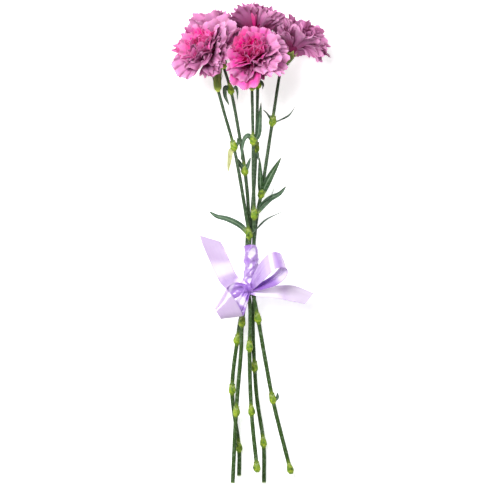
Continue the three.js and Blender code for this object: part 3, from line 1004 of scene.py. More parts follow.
FLOWERS = (
    Flower(
        name="left_front",
        low=((46.7, -260.2, 13), (25.9, -177, 19), (17.4, -132, 22.5), (9.3, -86, 27.4), (5, -64, 30.8)),
        bundle_angle=0,
        high=((-0.9, 9, 34.1), (-4.8, 34, 37.5), (-18, 107.7, 42), (-29, 147, 46.5), (-35.4, 170.7, 50)),
        joints=(-256, -177, -86, 9, 107.7),
        leaves=(
            Leaf(9, ((-10, 19.5, 37), (-25, 27.5, 39), (-38, 31, 38), (-46, 36.5, 34)), 6.5, 15),
            Leaf(9, ((7, 17, 37.5), (17, 27, 40), (39.4, 37.4, 41)), 4.5, 70),
            Leaf(107.7, ((-21.4, 104, 44), (-23, 94, 44), (-24.8, 80.5, 42)), 6, 10, wilt=1),
            Leaf(107.7, ((-13.5, 113, 44), (-14, 119, 45)), 4, -20, fresh=1),
            Leaf(-177, ((30.5, -174, 20), (31, -168, 22)), 4, 0, fresh=0.5),
        ),
        throat=(-41, 207, 60),
        axis=(-0.5, 0.55, 0.67),
        hang=(0.5, -0.6, 0.6),
        seed=11,
        limits=(Limit((0, 0, 40), (0, 0, 1)),),
        reach=1.14,
        heat=1.1,
        flush=0.36,
        warm=(-0.25, 0.28, 0),
        extra=(Extra((0.72, 0.7, 0.1), 122), Extra((0.95, 0.3, 0.2), 122)),
    ),
    Flower(
        name="left_back",
        low=((8.4, -258, 24), (1.7, -190.5, 27), (-0.6, -117.9, 30.5), (0.2, -90, 31.2), (-0.4, -66, 31)),
        bundle_angle=288,
        high=((-1.8, 34.5, 28.4), (-5.6, 80.7, 27.5), (-12, 122, 27), (-21.4, 171.8, 27.5), (-29, 197, 27)),
        joints=(-254, -190.5, -117.9, 80.7, 171.8),
        leaves=(
            Leaf(80.7, ((-10, 88, 29.5), (-15.5, 97.5, 30.5)), 5, 15),
            Leaf(80.7, ((-2.4, 88, 30.5), (0.6, 97, 32)), 4.5, -20),
            Leaf(171.8, ((-27.5, 176, 31), (-28, 167, 32.5), (-23.6, 156, 32)), 5, 10),
            Leaf(171.8, ((-16, 177, 30), (-14, 172, 32), (-14.2, 162, 32)), 4.5, 50),
        ),
        throat=(-33, 223, 24),
        axis=(-0.12, 0.9, 0.25),
        hang=(-0.1, 0, -1),
        seed=22,
        open=126,
        reach=1.05,
        extra=(
            Extra((1.0, 0.1, 0.5), 126),
            Extra((0.9, 0.1, -0.1), 126),
            Extra((-0.8, 0.42, 0.2), 78, 0.95, 40),
            Extra((-0.5, 0.6, 0.45), 56, 0.95, 30),
        ),
        heat=0.4,
        flush=0.08,
    ),
    Flower(
        name="front",
        low=(
            (15.8, -270.3, 2.1),
            (15.3, -226.5, 6.6),
            (7.9, -175.8, 12),
            (5.2, -141, 15.5),
            (3.3, -91.5, 20.5),
        ),
        bundle_angle=72,
        high=((4.8, 31.2, 33.6), (3.8, 70, 39), (3.4, 114.4, 44.5), (2.25, 171.8, 54)),
        joints=(-226.5, -141, 31.2, 114.4),
        leaves=(
            Leaf(31.2, ((12, 41, 36), (22.5, 51, 38.5), (33, 56.5, 39), (40.5, 64.5, 37)), 7, 15),
            Leaf(31.2, ((13, 45, 37.5), (22, 52, 41), (27, 62, 42)), 4, 75),
            Leaf(114.4, ((-2, 121, 47), (-6.5, 117, 49), (-10.2, 94, 48)), 6, 25),
            Leaf(114.4, ((8.5, 122, 46), (10.5, 138, 47), (12.4, 158.5, 48)), 6.5, 15, fresh=0.4),
        ),
        throat=(8, 200.5, 70),
        axis=(-0.16, 0.6, 0.78),
        hang=(-0.35, -0.8, 0.6),
        seed=33,
        limits=(Limit((0, 0, 42), (0, 0, 1)), Limit((0, 0, 109), (0, 0, -1), layer=0.0)),
        heat=1.4,
        flush=0.44,
        warm=(-0.5, 0.16, 0),
    ),
    Flower(
        name="centre_back",
        low=(
            (-19.6, -270.3, 15.5),
            (-15.8, -191.6, 19),
            (-10.1, -120.7, 22.5),
            (-9, -90.3, 24.3),
            (-5.4, -64, 24.6),
        ),
        bundle_angle=216,
        high=((2.3, 34.5, 22.4), (6.75, 106.5, 24), (8.55, 175, 27), (8.8, 208, 28.5)),
        joints=(-191.6, -90.3, 106.5, 178),
        leaves=(
            Leaf(106.5, ((9, 100, 27), (9.4, 94, 28)), 3.6, 30),
            Leaf(178, ((12.5, 183, 31), (15, 179, 33), (14, 174, 34)), 3.6, 40),
        ),
        throat=(5, 232, 43),
        axis=(0.05, 0.84, -0.5),
        hang=(0.1, 0, -1),
        seed=44,
        open=112,
        reach=0.86,
        extra=(Extra((0.98, 0.0, 0.2), 78, 1.04, 10), Extra((0.9, -0.1, 0.5), 98)),
        streak=(-0.08, 0.2, 1.0),
        heat=0.35,
        flush=0.06,
    ),
    Flower(
        name="right",
        low=(
            (-12.4, -262.5, 2.4),
            (-12.4, -232.1, 4.2),
            (-20.3, -166.8, 8.8),
            (-14.6, -110.6, 14.5),
            (-9.5, -80, 17),
            (-3.2, -63, 18.8),
        ),
        bundle_angle=144,
        high=((8.8, 37.9, 24), (12.4, 54.8, 24.3), (25, 136.3, 26), (33.5, 190.9, 28.5), (35, 197, 29)),
        joints=(-232.1, -166.8, -110.6, 54.8, 136.3),
        leaves=(
            Leaf(54.8, ((11.5, 70, 30), (10.6, 97, 32)), 6.5, 15, fresh=1),
            Leaf(54.8, ((19.5, 70, 29), (35, 97, 33)), 8.5, 10, fresh=1),
            Leaf(136.3, ((19.5, 145.5, 29), (14.6, 151, 30)), 4, 60),
            Leaf(136.3, ((35, 140.5, 29), (44, 145.5, 31), (50.6, 154, 32)), 4, 65),
            Leaf(-232.1, ((-16, -228, 7), (-16.6, -223, 8)), 4, 0, fresh=0.5),
        ),
        throat=(46, 215, 31),
        axis=(0.44, 0.88, -0.08),
        hang=(0.1, 0, -1),
        seed=55,
        open=132,
        reach=1.06,
        extra=(
            Extra((0.88, -0.44, 0.3), 128, 0.8),
            Extra((0.88, -0.42, 0.32), 112, 0.7, 70, 34),
            Extra((0.98, -0.05, 0.2), 100, 0.85, 30),
            Extra((-0.46, 0.89, 0.15), 82, 0.9, 20),
        ),
        heat=0.25,
        flush=0.02,
    ),
)


@dataclass
class Stalk:
    """One stem with its swollen joints and sheaths, its leaves and its calyx.

    A sheath is the cup that two leaf bases make round a joint. Its lobes rise above the rest, and a
    bud swells behind one of them.
    """

    flower: Flower
    bundle: Bundle = Bundle()
    radius_low: float = 2.4
    radius_top: float = 1.75
    # A joint swells over 4.5 mm below it and thins out over 9 mm above it, and the skin yellows there
    joint_radius: float = 3.6
    joint_below: float = 4.5
    joint_above: float = 9.0
    joint_full_below: float = 0.6
    joint_full_above: float = 0.5
    joint_lean: float = 0.35
    yellow_below: float = 5.0
    yellow_above: float = 13.0
    yellow_full: float = 2.0
    yellow_share: float = 0.9
    # The skin rises and falls by 0.05 mm, all of it inside the solid
    uneven: float = 0.05
    inset: float = 0.07
    ring_step: float = 1.6
    sides: int = 18
    sheath_wall: float = 0.35
    sheath_drop: float = 2.6
    sheath_rise: float = 5.5
    sheath_lobe: float = 3.0
    sheath_gap: float = 0.3
    sheath_flare: float = 1.3
    sheath_steps: tuple[float, ...] = (0, 0.1, 0.2, 0.32, 0.45, 0.6, 0.75, 0.88, 1.0)
    bud: float = 1.0
    bud_height: float = 2.0
    bud_spread: float = 2.6
    lowest: float = 0.06
    leaf_thickness: float = 0.5
    leaf_rows: int = 26
    leaf_columns: int = 9
    leaf_groove: float = 0.16
    leaf_least: float = 0.25
    calyx_profile: tuple[tuple[float, float], ...] = (
        (0, 2.1),
        (0.1, 3.9),
        (0.2, 4.1),
        (0.32, 3.9),
        (0.55, 5.7),
        (0.85, 6.2),
        (1, 5.7),
    )
    calyx_rings: int = 26
    calyx_sides: int = 40
    calyx_ribs: int = 10
    rib_depth: float = 0.018
    calyx_teeth: int = 5
    tooth_length: float = 7.0
    tooth_least: float = 0.6
    tooth_steps: int = 6
    tooth_radius: float = 5.75
    tooth_flare: float = 0.95
    tooth_wall: float = 0.45
    throat_radius: float = 4.2
    # Scales stand crosswise in pairs, one pair taller, and each reaches 0.75 radians to both sides
    scales: int = 4
    scale_grid: tuple[int, int] = (9, 5)
    scale_foot: float = 0.06
    scale_tops: tuple[float, float] = (0.4, 0.5)
    scale_half: float = 0.75
    scale_lift: float = 0.35
    scale_flare: float = 1.1
    scale_thickness: float = 0.35
    seat_gap: float = 0.3

    def swelling(self, heights: Array) -> Array:
        """Works out how swollen the stem is.

        Args:
            heights: Heights on Y.

        Returns:
            A share from 0 to 1 for each height.
        """
        swollen = np.zeros(len(heights))
        for joint in self.flower.joints:
            offset = heights - joint
            rise = smooth((offset + self.joint_below) / (self.joint_below - self.joint_full_below))
            fall = smooth(1 - (offset - self.joint_full_above) / self.joint_above)
            swollen = np.maximum(swollen, rise * fall)
        return swollen

    def stem(self, body: Body, curve: Spline) -> None:
        """Adds the stem to a body.

        Args:
            body: The mesh that it goes into.
            curve: The line that it follows.
        """
        bottom, top = self.flower.low[0][1], self.flower.high[-1][1]
        count = int((top - bottom) / self.ring_step)
        heights = np.linspace(bottom, top, count)
        shares = curve.share_at(heights)
        level = (heights - bottom) / (top - bottom)
        swollen = self.swelling(heights)
        plain = self.radius_low + (self.radius_top - self.radius_low) * level**2
        angle = 2 * np.pi * np.arange(self.sides) / self.sides
        lean = self.joint_lean * swollen[:, None] * np.cos(angle[None] - heights[:, None] * 0.05)
        waves = np.sin(heights * 0.31 + self.flower.seed)
        uneven = self.uneven * waves[:, None] * np.cos(2 * angle[None]) - self.inset
        swell = self.joint_radius - self.joint_lean - plain[:, None]
        radii = plain[:, None] + swell * swollen[:, None]
        rings = rings_on(curve.at(shares), curve.along(shares), radii + lean + uneven, self.sides)
        rings[..., 2] = np.maximum(rings[..., 2], self.lowest)
        yellow = np.zeros(len(heights))
        for joint in self.flower.joints:
            offset = heights - joint
            starts = smooth((offset + self.yellow_below) / (self.yellow_below / 2))
            ends = smooth(1 - (offset - self.yellow_full) / self.yellow_above)
            yellow = np.maximum(yellow, starts * ends)
        cut = (heights < bottom + self.ring_step * 0.5).astype(float)
        marks = {
            "height": level[:, None],
            "around": np.abs(2 * np.arange(self.sides) / self.sides - 1)[None] * 2 - 1,
            "joint": yellow[:, None] * self.yellow_share,
            "cut": cut[:, None],
            "tone": self.flower.seed / 60,
        }
        body.loft(rings, marks)

    def sheath(self, body: Body, curve: Spline, joint: float, turn: float) -> None:
        """Adds the cup that two leaf bases make round a joint.

        Args:
            body: The mesh that it goes into.
            curve: The stem's line.
            joint: The joint's height on Y.
            turn: The turn of its two lobes round the stem.
        """
        sides = self.sides * 2
        angle = 2 * np.pi * np.arange(sides) / sides
        lobe = np.abs(np.cos(angle - turn)) ** 1.6
        # Its edge is torn, by up to 0.6 mm
        torn = 0.35 * np.sin(angle * 7 + turn * 3) + 0.25 * np.sin(angle * 12 + turn)
        top = self.sheath_rise + self.sheath_lobe * lobe + torn
        bud = np.maximum(np.cos(angle - turn - 0.4), 0) ** 3
        steps = np.array(self.sheath_steps)
        outside, inside = [], []
        for step in steps:
            offset = -self.sheath_drop + (top + self.sheath_drop) * step
            heights = joint + offset
            swollen = self.swelling(heights)
            plain = self.joint_radius * swollen + self.radius_top * (1 - swollen)
            swell = np.exp(-(((offset - self.bud_height) / self.bud_spread) ** 2))
            flare = self.sheath_gap + self.sheath_flare * lobe * step**3 + self.bud * bud * swell
            shares = curve.share_at(heights)
            centres, along = curve.at(shares), curve.along(shares)
            spokes = rings_on(centres, along, np.ones(sides), sides)
            spoke = spokes[np.arange(sides), np.arange(sides)] - centres
            outside.append(centres + spoke * (plain + flare)[:, None])
            inside.append(centres + spoke * (plain + flare - self.sheath_wall)[:, None])
        # The cup's floor lies deep in the stem, so that no gap shows at its foot
        inside[0] = outside[0] + (inside[0] - outside[0]) * 4
        rings = np.stack([*outside, *inside[::-1]])
        yellow = np.concatenate([1 - 0.45 * steps, (1 - steps)[::-1]])
        lip = np.concatenate([smooth((steps - 0.75) / 0.25), 0 * steps])
        # Darker round the bud outside; the cup's inner wall gets painted shade
        eye = np.exp(-(((steps[:, None] - 0.4) / 0.14) ** 2)) * bud[None] ** 3
        eye = np.concatenate([eye, np.ones_like(eye) * 0.4])
        marks = {
            "height": 0.5,
            "around": np.cos(angle)[None],
            "joint": yellow[:, None],
            "lip": lip[:, None],
            "eye": eye,
            "cut": 0.0,
            "tone": 0.3,
        }
        body.loft(rings, marks)

    def leaf(self, body: Body, curve: Spline, leaf: Leaf, tone: float) -> None:
        """Adds a leaf, hollowed along its midrib.

        Args:
            body: The mesh that it goes into.
            curve: The stem's line.
            leaf: The leaf's sizes.
            tone: A number that sets its lines apart from another leaf's.
        """
        root = curve.at(curve.share_at(leaf.joint))[0]
        spine = Spline([tuple(root), *leaf.points])
        share = np.linspace(0, 1, self.leaf_rows)
        centre, along = spine.at(share), spine.along(share)
        turn = math.radians(leaf.turn)
        facing = (
            UP * math.cos(turn)
            + np.cross(along, UP) * math.sin(turn)
            + along * (along @ UP)[:, None] * (1 - math.cos(turn))
        )
        side = unit(np.cross(along, facing))
        up = np.cross(side, along)
        # It is widest a little over a third of the way up, and tapers to a thin tip
        swell = np.sin(np.pi * (0.2 + 0.795 * share)) ** 0.7
        half = np.maximum(self.leaf_least, leaf.width / 2 * swell)[:, None, None]
        place = np.linspace(-1, 1, self.leaf_columns)[None, :, None]
        hollow = np.abs(place) ** 1.3 * half * 2 * self.leaf_groove
        wavy = 0.12 * np.sin(share[:, None, None] * 9 + place * 2 + tone * 20) * half
        grid = centre[:, None] + side[:, None] * place * half + up[:, None] * (hollow + wavy)
        thick = self.leaf_thickness * (1 - 0.45 * place[..., 0] ** 2) * (1 - 0.4 * share[:, None])
        marks = {
            "along": share[:, None],
            "across": place[..., 0],
            "tone": tone,
            "fresh": leaf.fresh,
            "wilt": leaf.wilt,
        }
        body.blade(grid, thick, marks)

    def calyx(self, body: Body, curve: Spline) -> None:
        """Adds the green cup with its five teeth and the scales at its foot.

        Args:
            body: The mesh that it goes into.
            curve: The stem's line.
        """
        axis = unit(np.array(self.flower.axis))
        foot, leaving = curve.at(1.0)[0], curve.along(1.0)[0]
        seat = np.array(self.flower.throat) - axis * self.seat_gap
        reach = np.linalg.norm(seat - foot) / 3
        ends = [foot, foot + leaving * reach, seat - axis * reach, seat]
        angle = 2 * np.pi * np.arange(self.calyx_sides) / self.calyx_sides
        profile = np.array(self.calyx_profile)
        shares = np.linspace(0, 1, self.calyx_rings)
        centres = bezier(ends, shares)
        along = unit(np.gradient(centres, axis=0))
        along[-1] = axis
        wide = np.interp(shares, profile[:, 0], profile[:, 1])
        ribs = self.rib_depth * np.cos(angle * self.calyx_ribs)
        ribbed = 1 + ribs[None] * smooth(shares * 3)[:, None]
        walls = rings_on(centres, along, wide[:, None] * ribbed, self.calyx_sides)
        marks = {"along": shares[:, None] * 0.85, "around": np.cos(angle)[None], "tone": 0.2}
        body.loft(walls, marks)
        spokes = unit(walls[-1] - seat)
        tip = 1 - np.abs((angle * self.calyx_teeth / (2 * np.pi) + 0.5) % 1 - 0.5) * 2
        steps = np.linspace(0, 1, self.tooth_steps)
        outside, inside = [], []
        for step in steps:
            tall = self.tooth_least + (self.tooth_length - self.tooth_least) * tip**1.15
            height = -self.tooth_length / 2 + tall * step
            flare = self.tooth_radius + self.tooth_flare * step
            place = seat + axis * height[:, None]
            outside.append(place + spokes * flare)
            inside.append(place + spokes * (flare - self.tooth_wall))
        inside[0] = seat + axis * (-self.tooth_length / 2) + spokes * self.throat_radius
        rings = np.stack([*outside, *inside[::-1]])
        pale = np.concatenate([0.8 + 0.2 * steps, (0.8 + 0.2 * steps)[::-1]])
        body.loft(rings, {"along": pale[:, None], "around": np.cos(angle)[None], "tone": 0.2})
        for number in range(self.scales):
            self.scale(body, ends, number)

    def scale(self, body: Body, ends: list[Array], number: int) -> None:
        """Adds one of the small pointed scales that hug the calyx at its foot.

        Args:
            body: The mesh that it goes into.
            ends: The four points of the calyx's own line.
            number: Which of the scales it is.
        """
        rows, columns = self.scale_grid
        share = np.linspace(self.scale_foot, self.scale_tops[number % 2], rows)
        centres = bezier(ends, share)
        along = unit(np.gradient(centres, axis=0))
        profile = np.array(self.calyx_profile)
        wide = np.interp(share, profile[:, 0], profile[:, 1])
        step = np.linspace(0, 1, rows)
        tapered = self.scale_half * np.cos(step * np.pi / 2) ** 0.8
        spread = tapered[:, None] * np.linspace(-1, 1, columns)[None]
        angle = number * 2 * np.pi / self.scales + self.flower.seed + spread
        first = unit(np.array([1.0, 0, 0]) - along * along[:, :1])
        second = np.cross(along, first)
        spoke = first[:, None] * np.cos(angle)[..., None] + second[:, None] * np.sin(angle)[..., None]
        lift = (wide + self.scale_lift + self.scale_flare * step**3)[:, None, None]
        grid = centres[:, None] + spoke * lift
        marks = {
            "along": (0.15 + 0.75 * step)[:, None],
            "around": np.linspace(-1, 1, columns)[None],
            "tone": number / self.scales,
        }
        body.blade(grid, self.scale_thickness, marks)

    def build(self, stalk: bpy.types.Material, leaf: bpy.types.Material, calyx: bpy.types.Material) -> None:
        """Builds the stem, leaves and calyx and stands them in for their solid.

        Args:
            stalk: The stem's finish.
            leaf: The leaves' finish.
            calyx: The calyx's finish.
        """
        curve = self.bundle.curve(self.flower)
        wood, blades, cup = Body(), Body(), Body()
        self.stem(wood, curve)
        for number, joint in enumerate(self.flower.joints):
            self.sheath(wood, curve, joint, number * 1.9 + self.flower.seed)
        for number, one in enumerate(self.flower.leaves):
            self.leaf(blades, curve, one, (number + 1) / 6)
        self.calyx(cup, curve)
        for body, kind, finish in ((wood, "stem", stalk), (blades, "leaves", leaf), (cup, "calyx", calyx)):
            name = self.flower.name
            body.piece(f"{kind}_of_{name}", finish, f"stem_{name}", Slot.STEM)


@dataclass(frozen=True)
class Petal:
    """One petal's place in the bloom, in the order that a bloom opens, and its shape.

    Lengths are in millimetres, around, roll and crease in radians, and bend and spread in degrees.
    Its rim has as many teeth as frills says, and frill is their depth as a share of its length.
    Wave, folds and phase are its broad waves, and ruffle and ruffles its fine pleats. It is hollow
    by cup, folded along its middle by crease, and its rim curls by curl. Tone sets it apart from
    the others, and blush is how hot a pink it is.
    """

    layer: float
    around: float
    length: float
    bend: float
    spread: float
    wave: float
    folds: float
    phase: float
    cup: float
    frill: float
    roll: float
    root: float
    lift: float
    inward: float
    frills: float = 3.0
    ruffle: float = 0.0
    ruffles: float = 5.0
    crease: float = 0.0
    curl: float = 0.0
    tone: float = 0.0
    blush: float = 0.0


# One narrow petal that is nearly smooth and hot pink
STREAK = {
    "length": 25,
    "bend": 96,
    "spread": 9,
    "root": 4.2,
    "roll": 0.0,
    "ruffle": 0.3,
    "blush": 1.3,
}


@dataclass
class Bloom:
    """One open carnation: broad outer petals round a crumpled heart of small ones.

    The solid's petals come first, then a skirt and a heart of fillers between them. A petal gives
    way to planes: softly within give_depth, and never nearer than give_gap.
    """

    flower: Flower
    solid_petals: int = 14
    skirt_petals: int = 16
    heart_petals: int = 14
    skirt_inward: tuple[float, float] = (0.12, 0.6)
    heart_inward: tuple[float, float] = (0.55, 1.12)
    length_outer: float = 41
    length_inner: float = 27
    bend_inner: float = 20
    spread_outer: float = 38
    spread_inner: float = 30
    wave_outer: float = 1.8
    wave_inner: float = 3.4
    start_angle: float = 42
    thickness: float = 0.4
    overlap: float = 26.0
    near_layer: float = 0.35
    near_spare: float = 1.15
    filler_over: float = 6.0
    give_depth: float = 4
    give_gap: float = 0.55
    give_layers: float = 6
    surface_lift: float = 0.36
    surface_spare: float = 1.6
    row_start: float = 0.16
    outer_grid: tuple[int, int] = (20, 41)
    heart_grid: tuple[int, int] = (16, 29)
    rounding: float = 0.14
    # The rim is toothed over its last fifth, and in the last of that each tooth has finer ones
    rim_share: float = 0.2
    fine_start: float = 0.93
    fine_share: float = 0.07
    fine_tooth: float = 0.016
    # Pleats grow towards the rim: late on a broad petal, early on one that is still crumpled
    ruffle_outer: float = 3.2
    ruffle_inner: float = 1.6
    crinkle: float = 0.35
    extra_inward: float = 0.2
    extra_tone: float = 0.8
    coolest: float = -0.4
    core_sides: int = 24
    core_rings: int = 16
    core_creases: float = 0.16
    core_profile: tuple[tuple[float, float], ...] = (
        (0.2, 0.2),
        (4.2, 0.2),
        (4.7, 4),
        (8.5, 9),
        (9.5, 13),
        (7, 17),
        (0.2, 19),
    )

    def outer_length(self) -> float:
        """Returns the usual length of this bloom's outermost petals."""
        return self.length_outer * self.flower.reach

    def frame(self) -> tuple[Array, Array, Array]:
        """Finds the bloom's own directions.

        Returns:
            Its axis, the way its first petal hangs, and the way square to both.
        """
        axis = unit(np.array(self.flower.axis))
        hang = np.array(self.flower.hang, float)
        first = unit(hang - axis * (hang @ axis))
        return axis, first, np.cross(axis, first)

    def outward(self, around: float) -> Array:
        """Returns the way out of the bloom at an angle from the way that its first petal hangs."""
        _, first, second = self.frame()
        return first * math.cos(around) + second * math.sin(around)

    def around(self, way: Point) -> float:
        """Returns the angle of a way from the one in which the first petal hangs."""
        _, first, second = self.frame()
        return math.atan2(np.array(way) @ second, np.array(way) @ first)

    def limits(self, over: float = 0.0) -> list[Limit]:
        """Returns the planes that petals give way to: the surface, the bloom's own, and its neighbours'.

        Args:
            over: How far a petal may reach in among a neighbour's petals.

        Returns:
            The planes.
        """
        heart = self.flower.heart()
        planes = [
            Limit((0, 0, 0), (0, 0, 1), self.surface_lift - self.give_gap, spare=self.surface_spare),
            *self.flower.limits,
        ]
        for other in FLOWERS:
            if other is not self.flower:
                apart = heart - other.heart()
                share = self.flower.reach / (self.flower.reach + other.reach)
                tilt = np.array([0.0, 0.0, math.copysign(self.overlap, apart[2])])
                normal = unit(apart + tilt)
                split = heart - apart * share
                planes.append(Limit(tuple(split), tuple(normal), -over, self.near_layer, self.near_spare))
        return planes

    def petals(self) -> list[Petal]:
        """Draws the petals: first those of the solid, then the skirt and heart between them.

        Returns:
            The petals, in the order in which they are drawn.
        """
        draw = Draw(self.flower.seed)
        between = draw.between
        made = []
        for index in range(self.solid_petals):
            inward = index / (self.solid_petals - 1)
            made.append(
                Petal(
                    layer=index,
                    around=math.radians(index * GOLDEN_ANGLE + between(-8, 8)),
                    length=lerp(self.outer_length(), self.length_inner, inward) * between(0.93, 1.05),
                    bend=lerp(self.flower.open, self.bend_inner, inward)
                    + between(-9, 9) * (1 - inward),
                    spread=lerp(self.spread_outer, self.spread_inner, inward) * between(0.9, 1.1),
                    wave=lerp(self.wave_outer, self.wave_inner, inward) * between(0.8, 1.2),
                    folds=between(0.9, 1.3),
                    phase=between(0, 2 * math.pi),
                    cup=between(0, 3),
                    frill=between(0.015, 0.035),
                    roll=math.radians(between(-6, 6) + between(-34, 34) * inward),
                    root=lerp(3, 1.5, inward),
                    lift=lerp(2, 9, inward),
                    inward=inward,
                )
            )
        dressed = Draw(self.flower.seed + 100)
        extra = [lerp(*self.skirt_inward, n / self.skirt_petals) for n in range(self.skirt_petals)]
        extra += [lerp(*self.heart_inward, n / self.heart_petals) for n in range(self.heart_petals)]
        made += [self.filler(number, inward, dressed) for number, inward in enumerate(extra)]
        for number, one in enumerate(self.flower.extra):
            petal = self.filler(number, self.extra_inward, dressed)
            made.append(
                replace(
                    petal,
                    around=self.around(one.way),
                    length=self.outer_length() * one.reach,
                    bend=one.bend,
                    roll=math.radians(one.roll),
                    spread=one.spread,
                    tone=self.extra_tone,
                )
            )
        finished = [self.dressed(petal, dressed) for petal in made]
        if self.flower.streak:
            around = self.around(self.flower.streak)
            finished.append(replace(finished[0], around=around, **STREAK))
        return finished

    def filler(self, number: int, inward: float, draw: Draw) -> Petal:
        """Draws one of the petals that fill the bloom between those of its solid.

        Args:
            number: Its place in the order.
            inward: How far in it grows, from 0 at the outside to 1 at the heart.
            draw: The draw of numbers.

        Returns:
            The petal, without its fine folds.
        """
        between = draw.between
        return Petal(
            layer=inward * (self.solid_petals - 1),
            around=math.radians((number + 0.5) * GOLDEN_ANGLE + between(-14, 14)),
            length=lerp(self.outer_length(), self.length_inner, inward) * between(0.74, 1.02),
            bend=lerp(self.flower.open, self.bend_inner, min(inward, 1)) + between(-34, 24),
            spread=lerp(self.spread_outer, self.spread_inner, inward) * between(0.75, 1.05),
            wave=lerp(self.wave_outer, self.wave_inner, inward) * between(1.1, 2.4),
            folds=between(0.9, 1.5),
            phase=between(0, 2 * math.pi),
            cup=between(-1, 4),
            frill=between(0.025, 0.08),
            frills=5 + 0.7 * (number % 4),
            roll=math.radians(between(-16, 16) + between(-62, 62) * inward),
            root=lerp(3, 1.2, min(inward, 1)),
            lift=lerp(2, 9, inward) * between(0.8, 1.0),
            inward=inward,
        )

    def dressed(self, petal: Petal, draw: Draw) -> Petal:
        """Gives a petal its fine folds and its colour.

        Args:
            petal: The petal as its solid has it.
            draw: The draw of numbers.

        Returns:
            The finished petal.
        """
        inward = petal.inward
        heart = float(smooth((inward - 0.35) / 0.5))
        warm = float(np.array(self.flower.warm) @ self.outward(petal.around))
        flush = lerp(self.flower.flush, self.flower.heat, heart) + max(self.coolest, warm)
        return replace(
            petal,
            ruffle=lerp(1.2, 4.6, heart) * draw.between(0.5, 1.3),
            ruffles=draw.between(2.4, 6.0) * (1 - 0.3 * heart),
            crease=math.radians(draw.between(4, 24) + 12 * heart * draw.share()),
            curl=draw.between(-1.5, 3.0) * (0.6 + inward),
            tone=petal.tone or draw.share(),
            blush=flush + draw.between(-0.34, 0.2),
        )

    @staticmethod
    def pleats(petal: Petal, share: Array, across: Array) -> Array:
        """Returns how far up its pleats each point of a petal is, from 0 in a valley to 1 on a ridge."""
        turned = across * np.pi * petal.ruffles + petal.phase * 2 + share * 1.5
        return np.abs(np.sin(turned / 2))

    def points(
        self, petal: Petal, share: Array, across: Array, length: float, teeth: Array | None = None
    ) -> Array:
        """Places points of a petal: a fan bent outward along an arc, with waves.

        Args:
            petal: The petal.
            share: How far along it each point is, from 0 to 1.
            across: How far across it each point is, from -1 to 1.
            length: The petal's length.
            teeth: The height of each small tooth on its rim. Without them it has no fine folds.

        Returns:
            The points.
        """
        axis = self.frame()[0]
        outward = self.outward(petal.around)
        start = math.radians(self.start_angle * petal.bend / self.flower.open)
        turn = math.radians(petal.bend) - start
        fan = math.radians(petal.spread) * across
        rim = np.clip((share - (1 - self.rim_share)) / self.rim_share, 0, 1)
        tooth = petal.frill * np.cos(across * np.pi * petal.frills) * rim
        tooth = tooth - self.rounding * across**4 * share**2
        if teeth is not None:
            fine = np.clip((share - self.fine_start) / self.fine_share, 0, 1)
            tooth = tooth + self.fine_tooth * teeth * fine
        run = length * share * (1 + tooth)
        angle = start + turn * (run * np.cos(fan)) / length
        curl = length / turn
        radius = petal.root + curl * (math.cos(start) - np.cos(angle))
        height = petal.lift + curl * (np.sin(angle) - math.sin(start))
        wave = petal.wave * share**2 * np.sin(across * np.pi * petal.folds + petal.phase)
        wave = wave + petal.cup * across**2 * share
        lateral = run * np.sin(fan)
        if teeth is not None:
            grows = self.grows(petal)
            wave = wave + petal.ruffle * share**grows * (2 * self.pleats(petal, share, across) - 1.2)
            crinkle = np.sin(across * 11 + share * 9 + petal.phase) * np.sin(share * 17 - across * 5)
            wave = wave + self.crinkle * share**2 * crinkle
            wave = wave + petal.curl * rim**2
            crease = petal.crease * smooth(share * 1.2)
            wave = wave + np.abs(lateral) * np.sin(crease)
            lateral = lateral * np.cos(crease)
        roll = petal.roll * share
        lift = wave * np.cos(roll) + lateral * np.sin(roll)
        slide = lateral * np.cos(roll) - wave * np.sin(roll)
        out = radius - np.cos(angle) * lift
        rise = height + np.sin(angle) * lift
        return (
            np.array(self.flower.throat, float)
            + outward * out[..., None]
            + axis * rise[..., None]
            + np.cross(axis, outward) * slide[..., None]
        )

    def grows(self, petal: Petal) -> float:
        """Returns how late along a petal its pleats grow, as the power of its length."""
        return self.ruffle_outer if petal.inward < 0.5 else self.ruffle_inner

    def grid(self, petal: Petal, planes: list[Limit]) -> tuple[Array, dict]:
        """Shapes one petal: it is drawn shorter where it would cross a plane far, and gives way to it.

        Args:
            petal: The petal.
            planes: The planes that it gives way to.

        Returns:
            Its grid of points and its marks.
        """
        throat = np.array(self.flower.throat, float)
        rows, columns = self.outer_grid if petal.inward < 0.5 else self.heart_grid
        share = self.row_start + (1 - self.row_start) * np.linspace(0, 1, rows)[:, None] ** 0.85
        across = np.linspace(-1, 1, columns)[None, :]
        fine = Draw(int(petal.phase * 1000) + 7)
        teeth = np.array([fine.between(0.3, 1.0) * (1 if n % 2 else -1) for n in range(columns)])
        fit = 1.0
        tip = self.points(petal, np.ones((1, 1)), np.zeros((1, 1)), petal.length)[0, 0]
        for plane in planes:
            inside, beyond = (throat - plane.point) @ plane.normal, (tip - plane.point) @ plane.normal
            if beyond < 0 < inside:
                fit = min(fit, plane.spare * inside / (inside - beyond))
        points = self.points(petal, share, across, petal.length * fit, teeth)
        points = self.give_way(points, planes, petal.layer)
        # The valleys' mark, which the petals' finish turns into painted shade
        valley = 1 - self.pleats(petal, share, across)
        marks = {
            "along": share * np.ones_like(across),
            "across": across,
            "tone": petal.tone,
            "blush": petal.blush,
            "fold": valley * np.minimum(share * 1.15, 1) ** self.grows(petal),
        }
        return points, marks

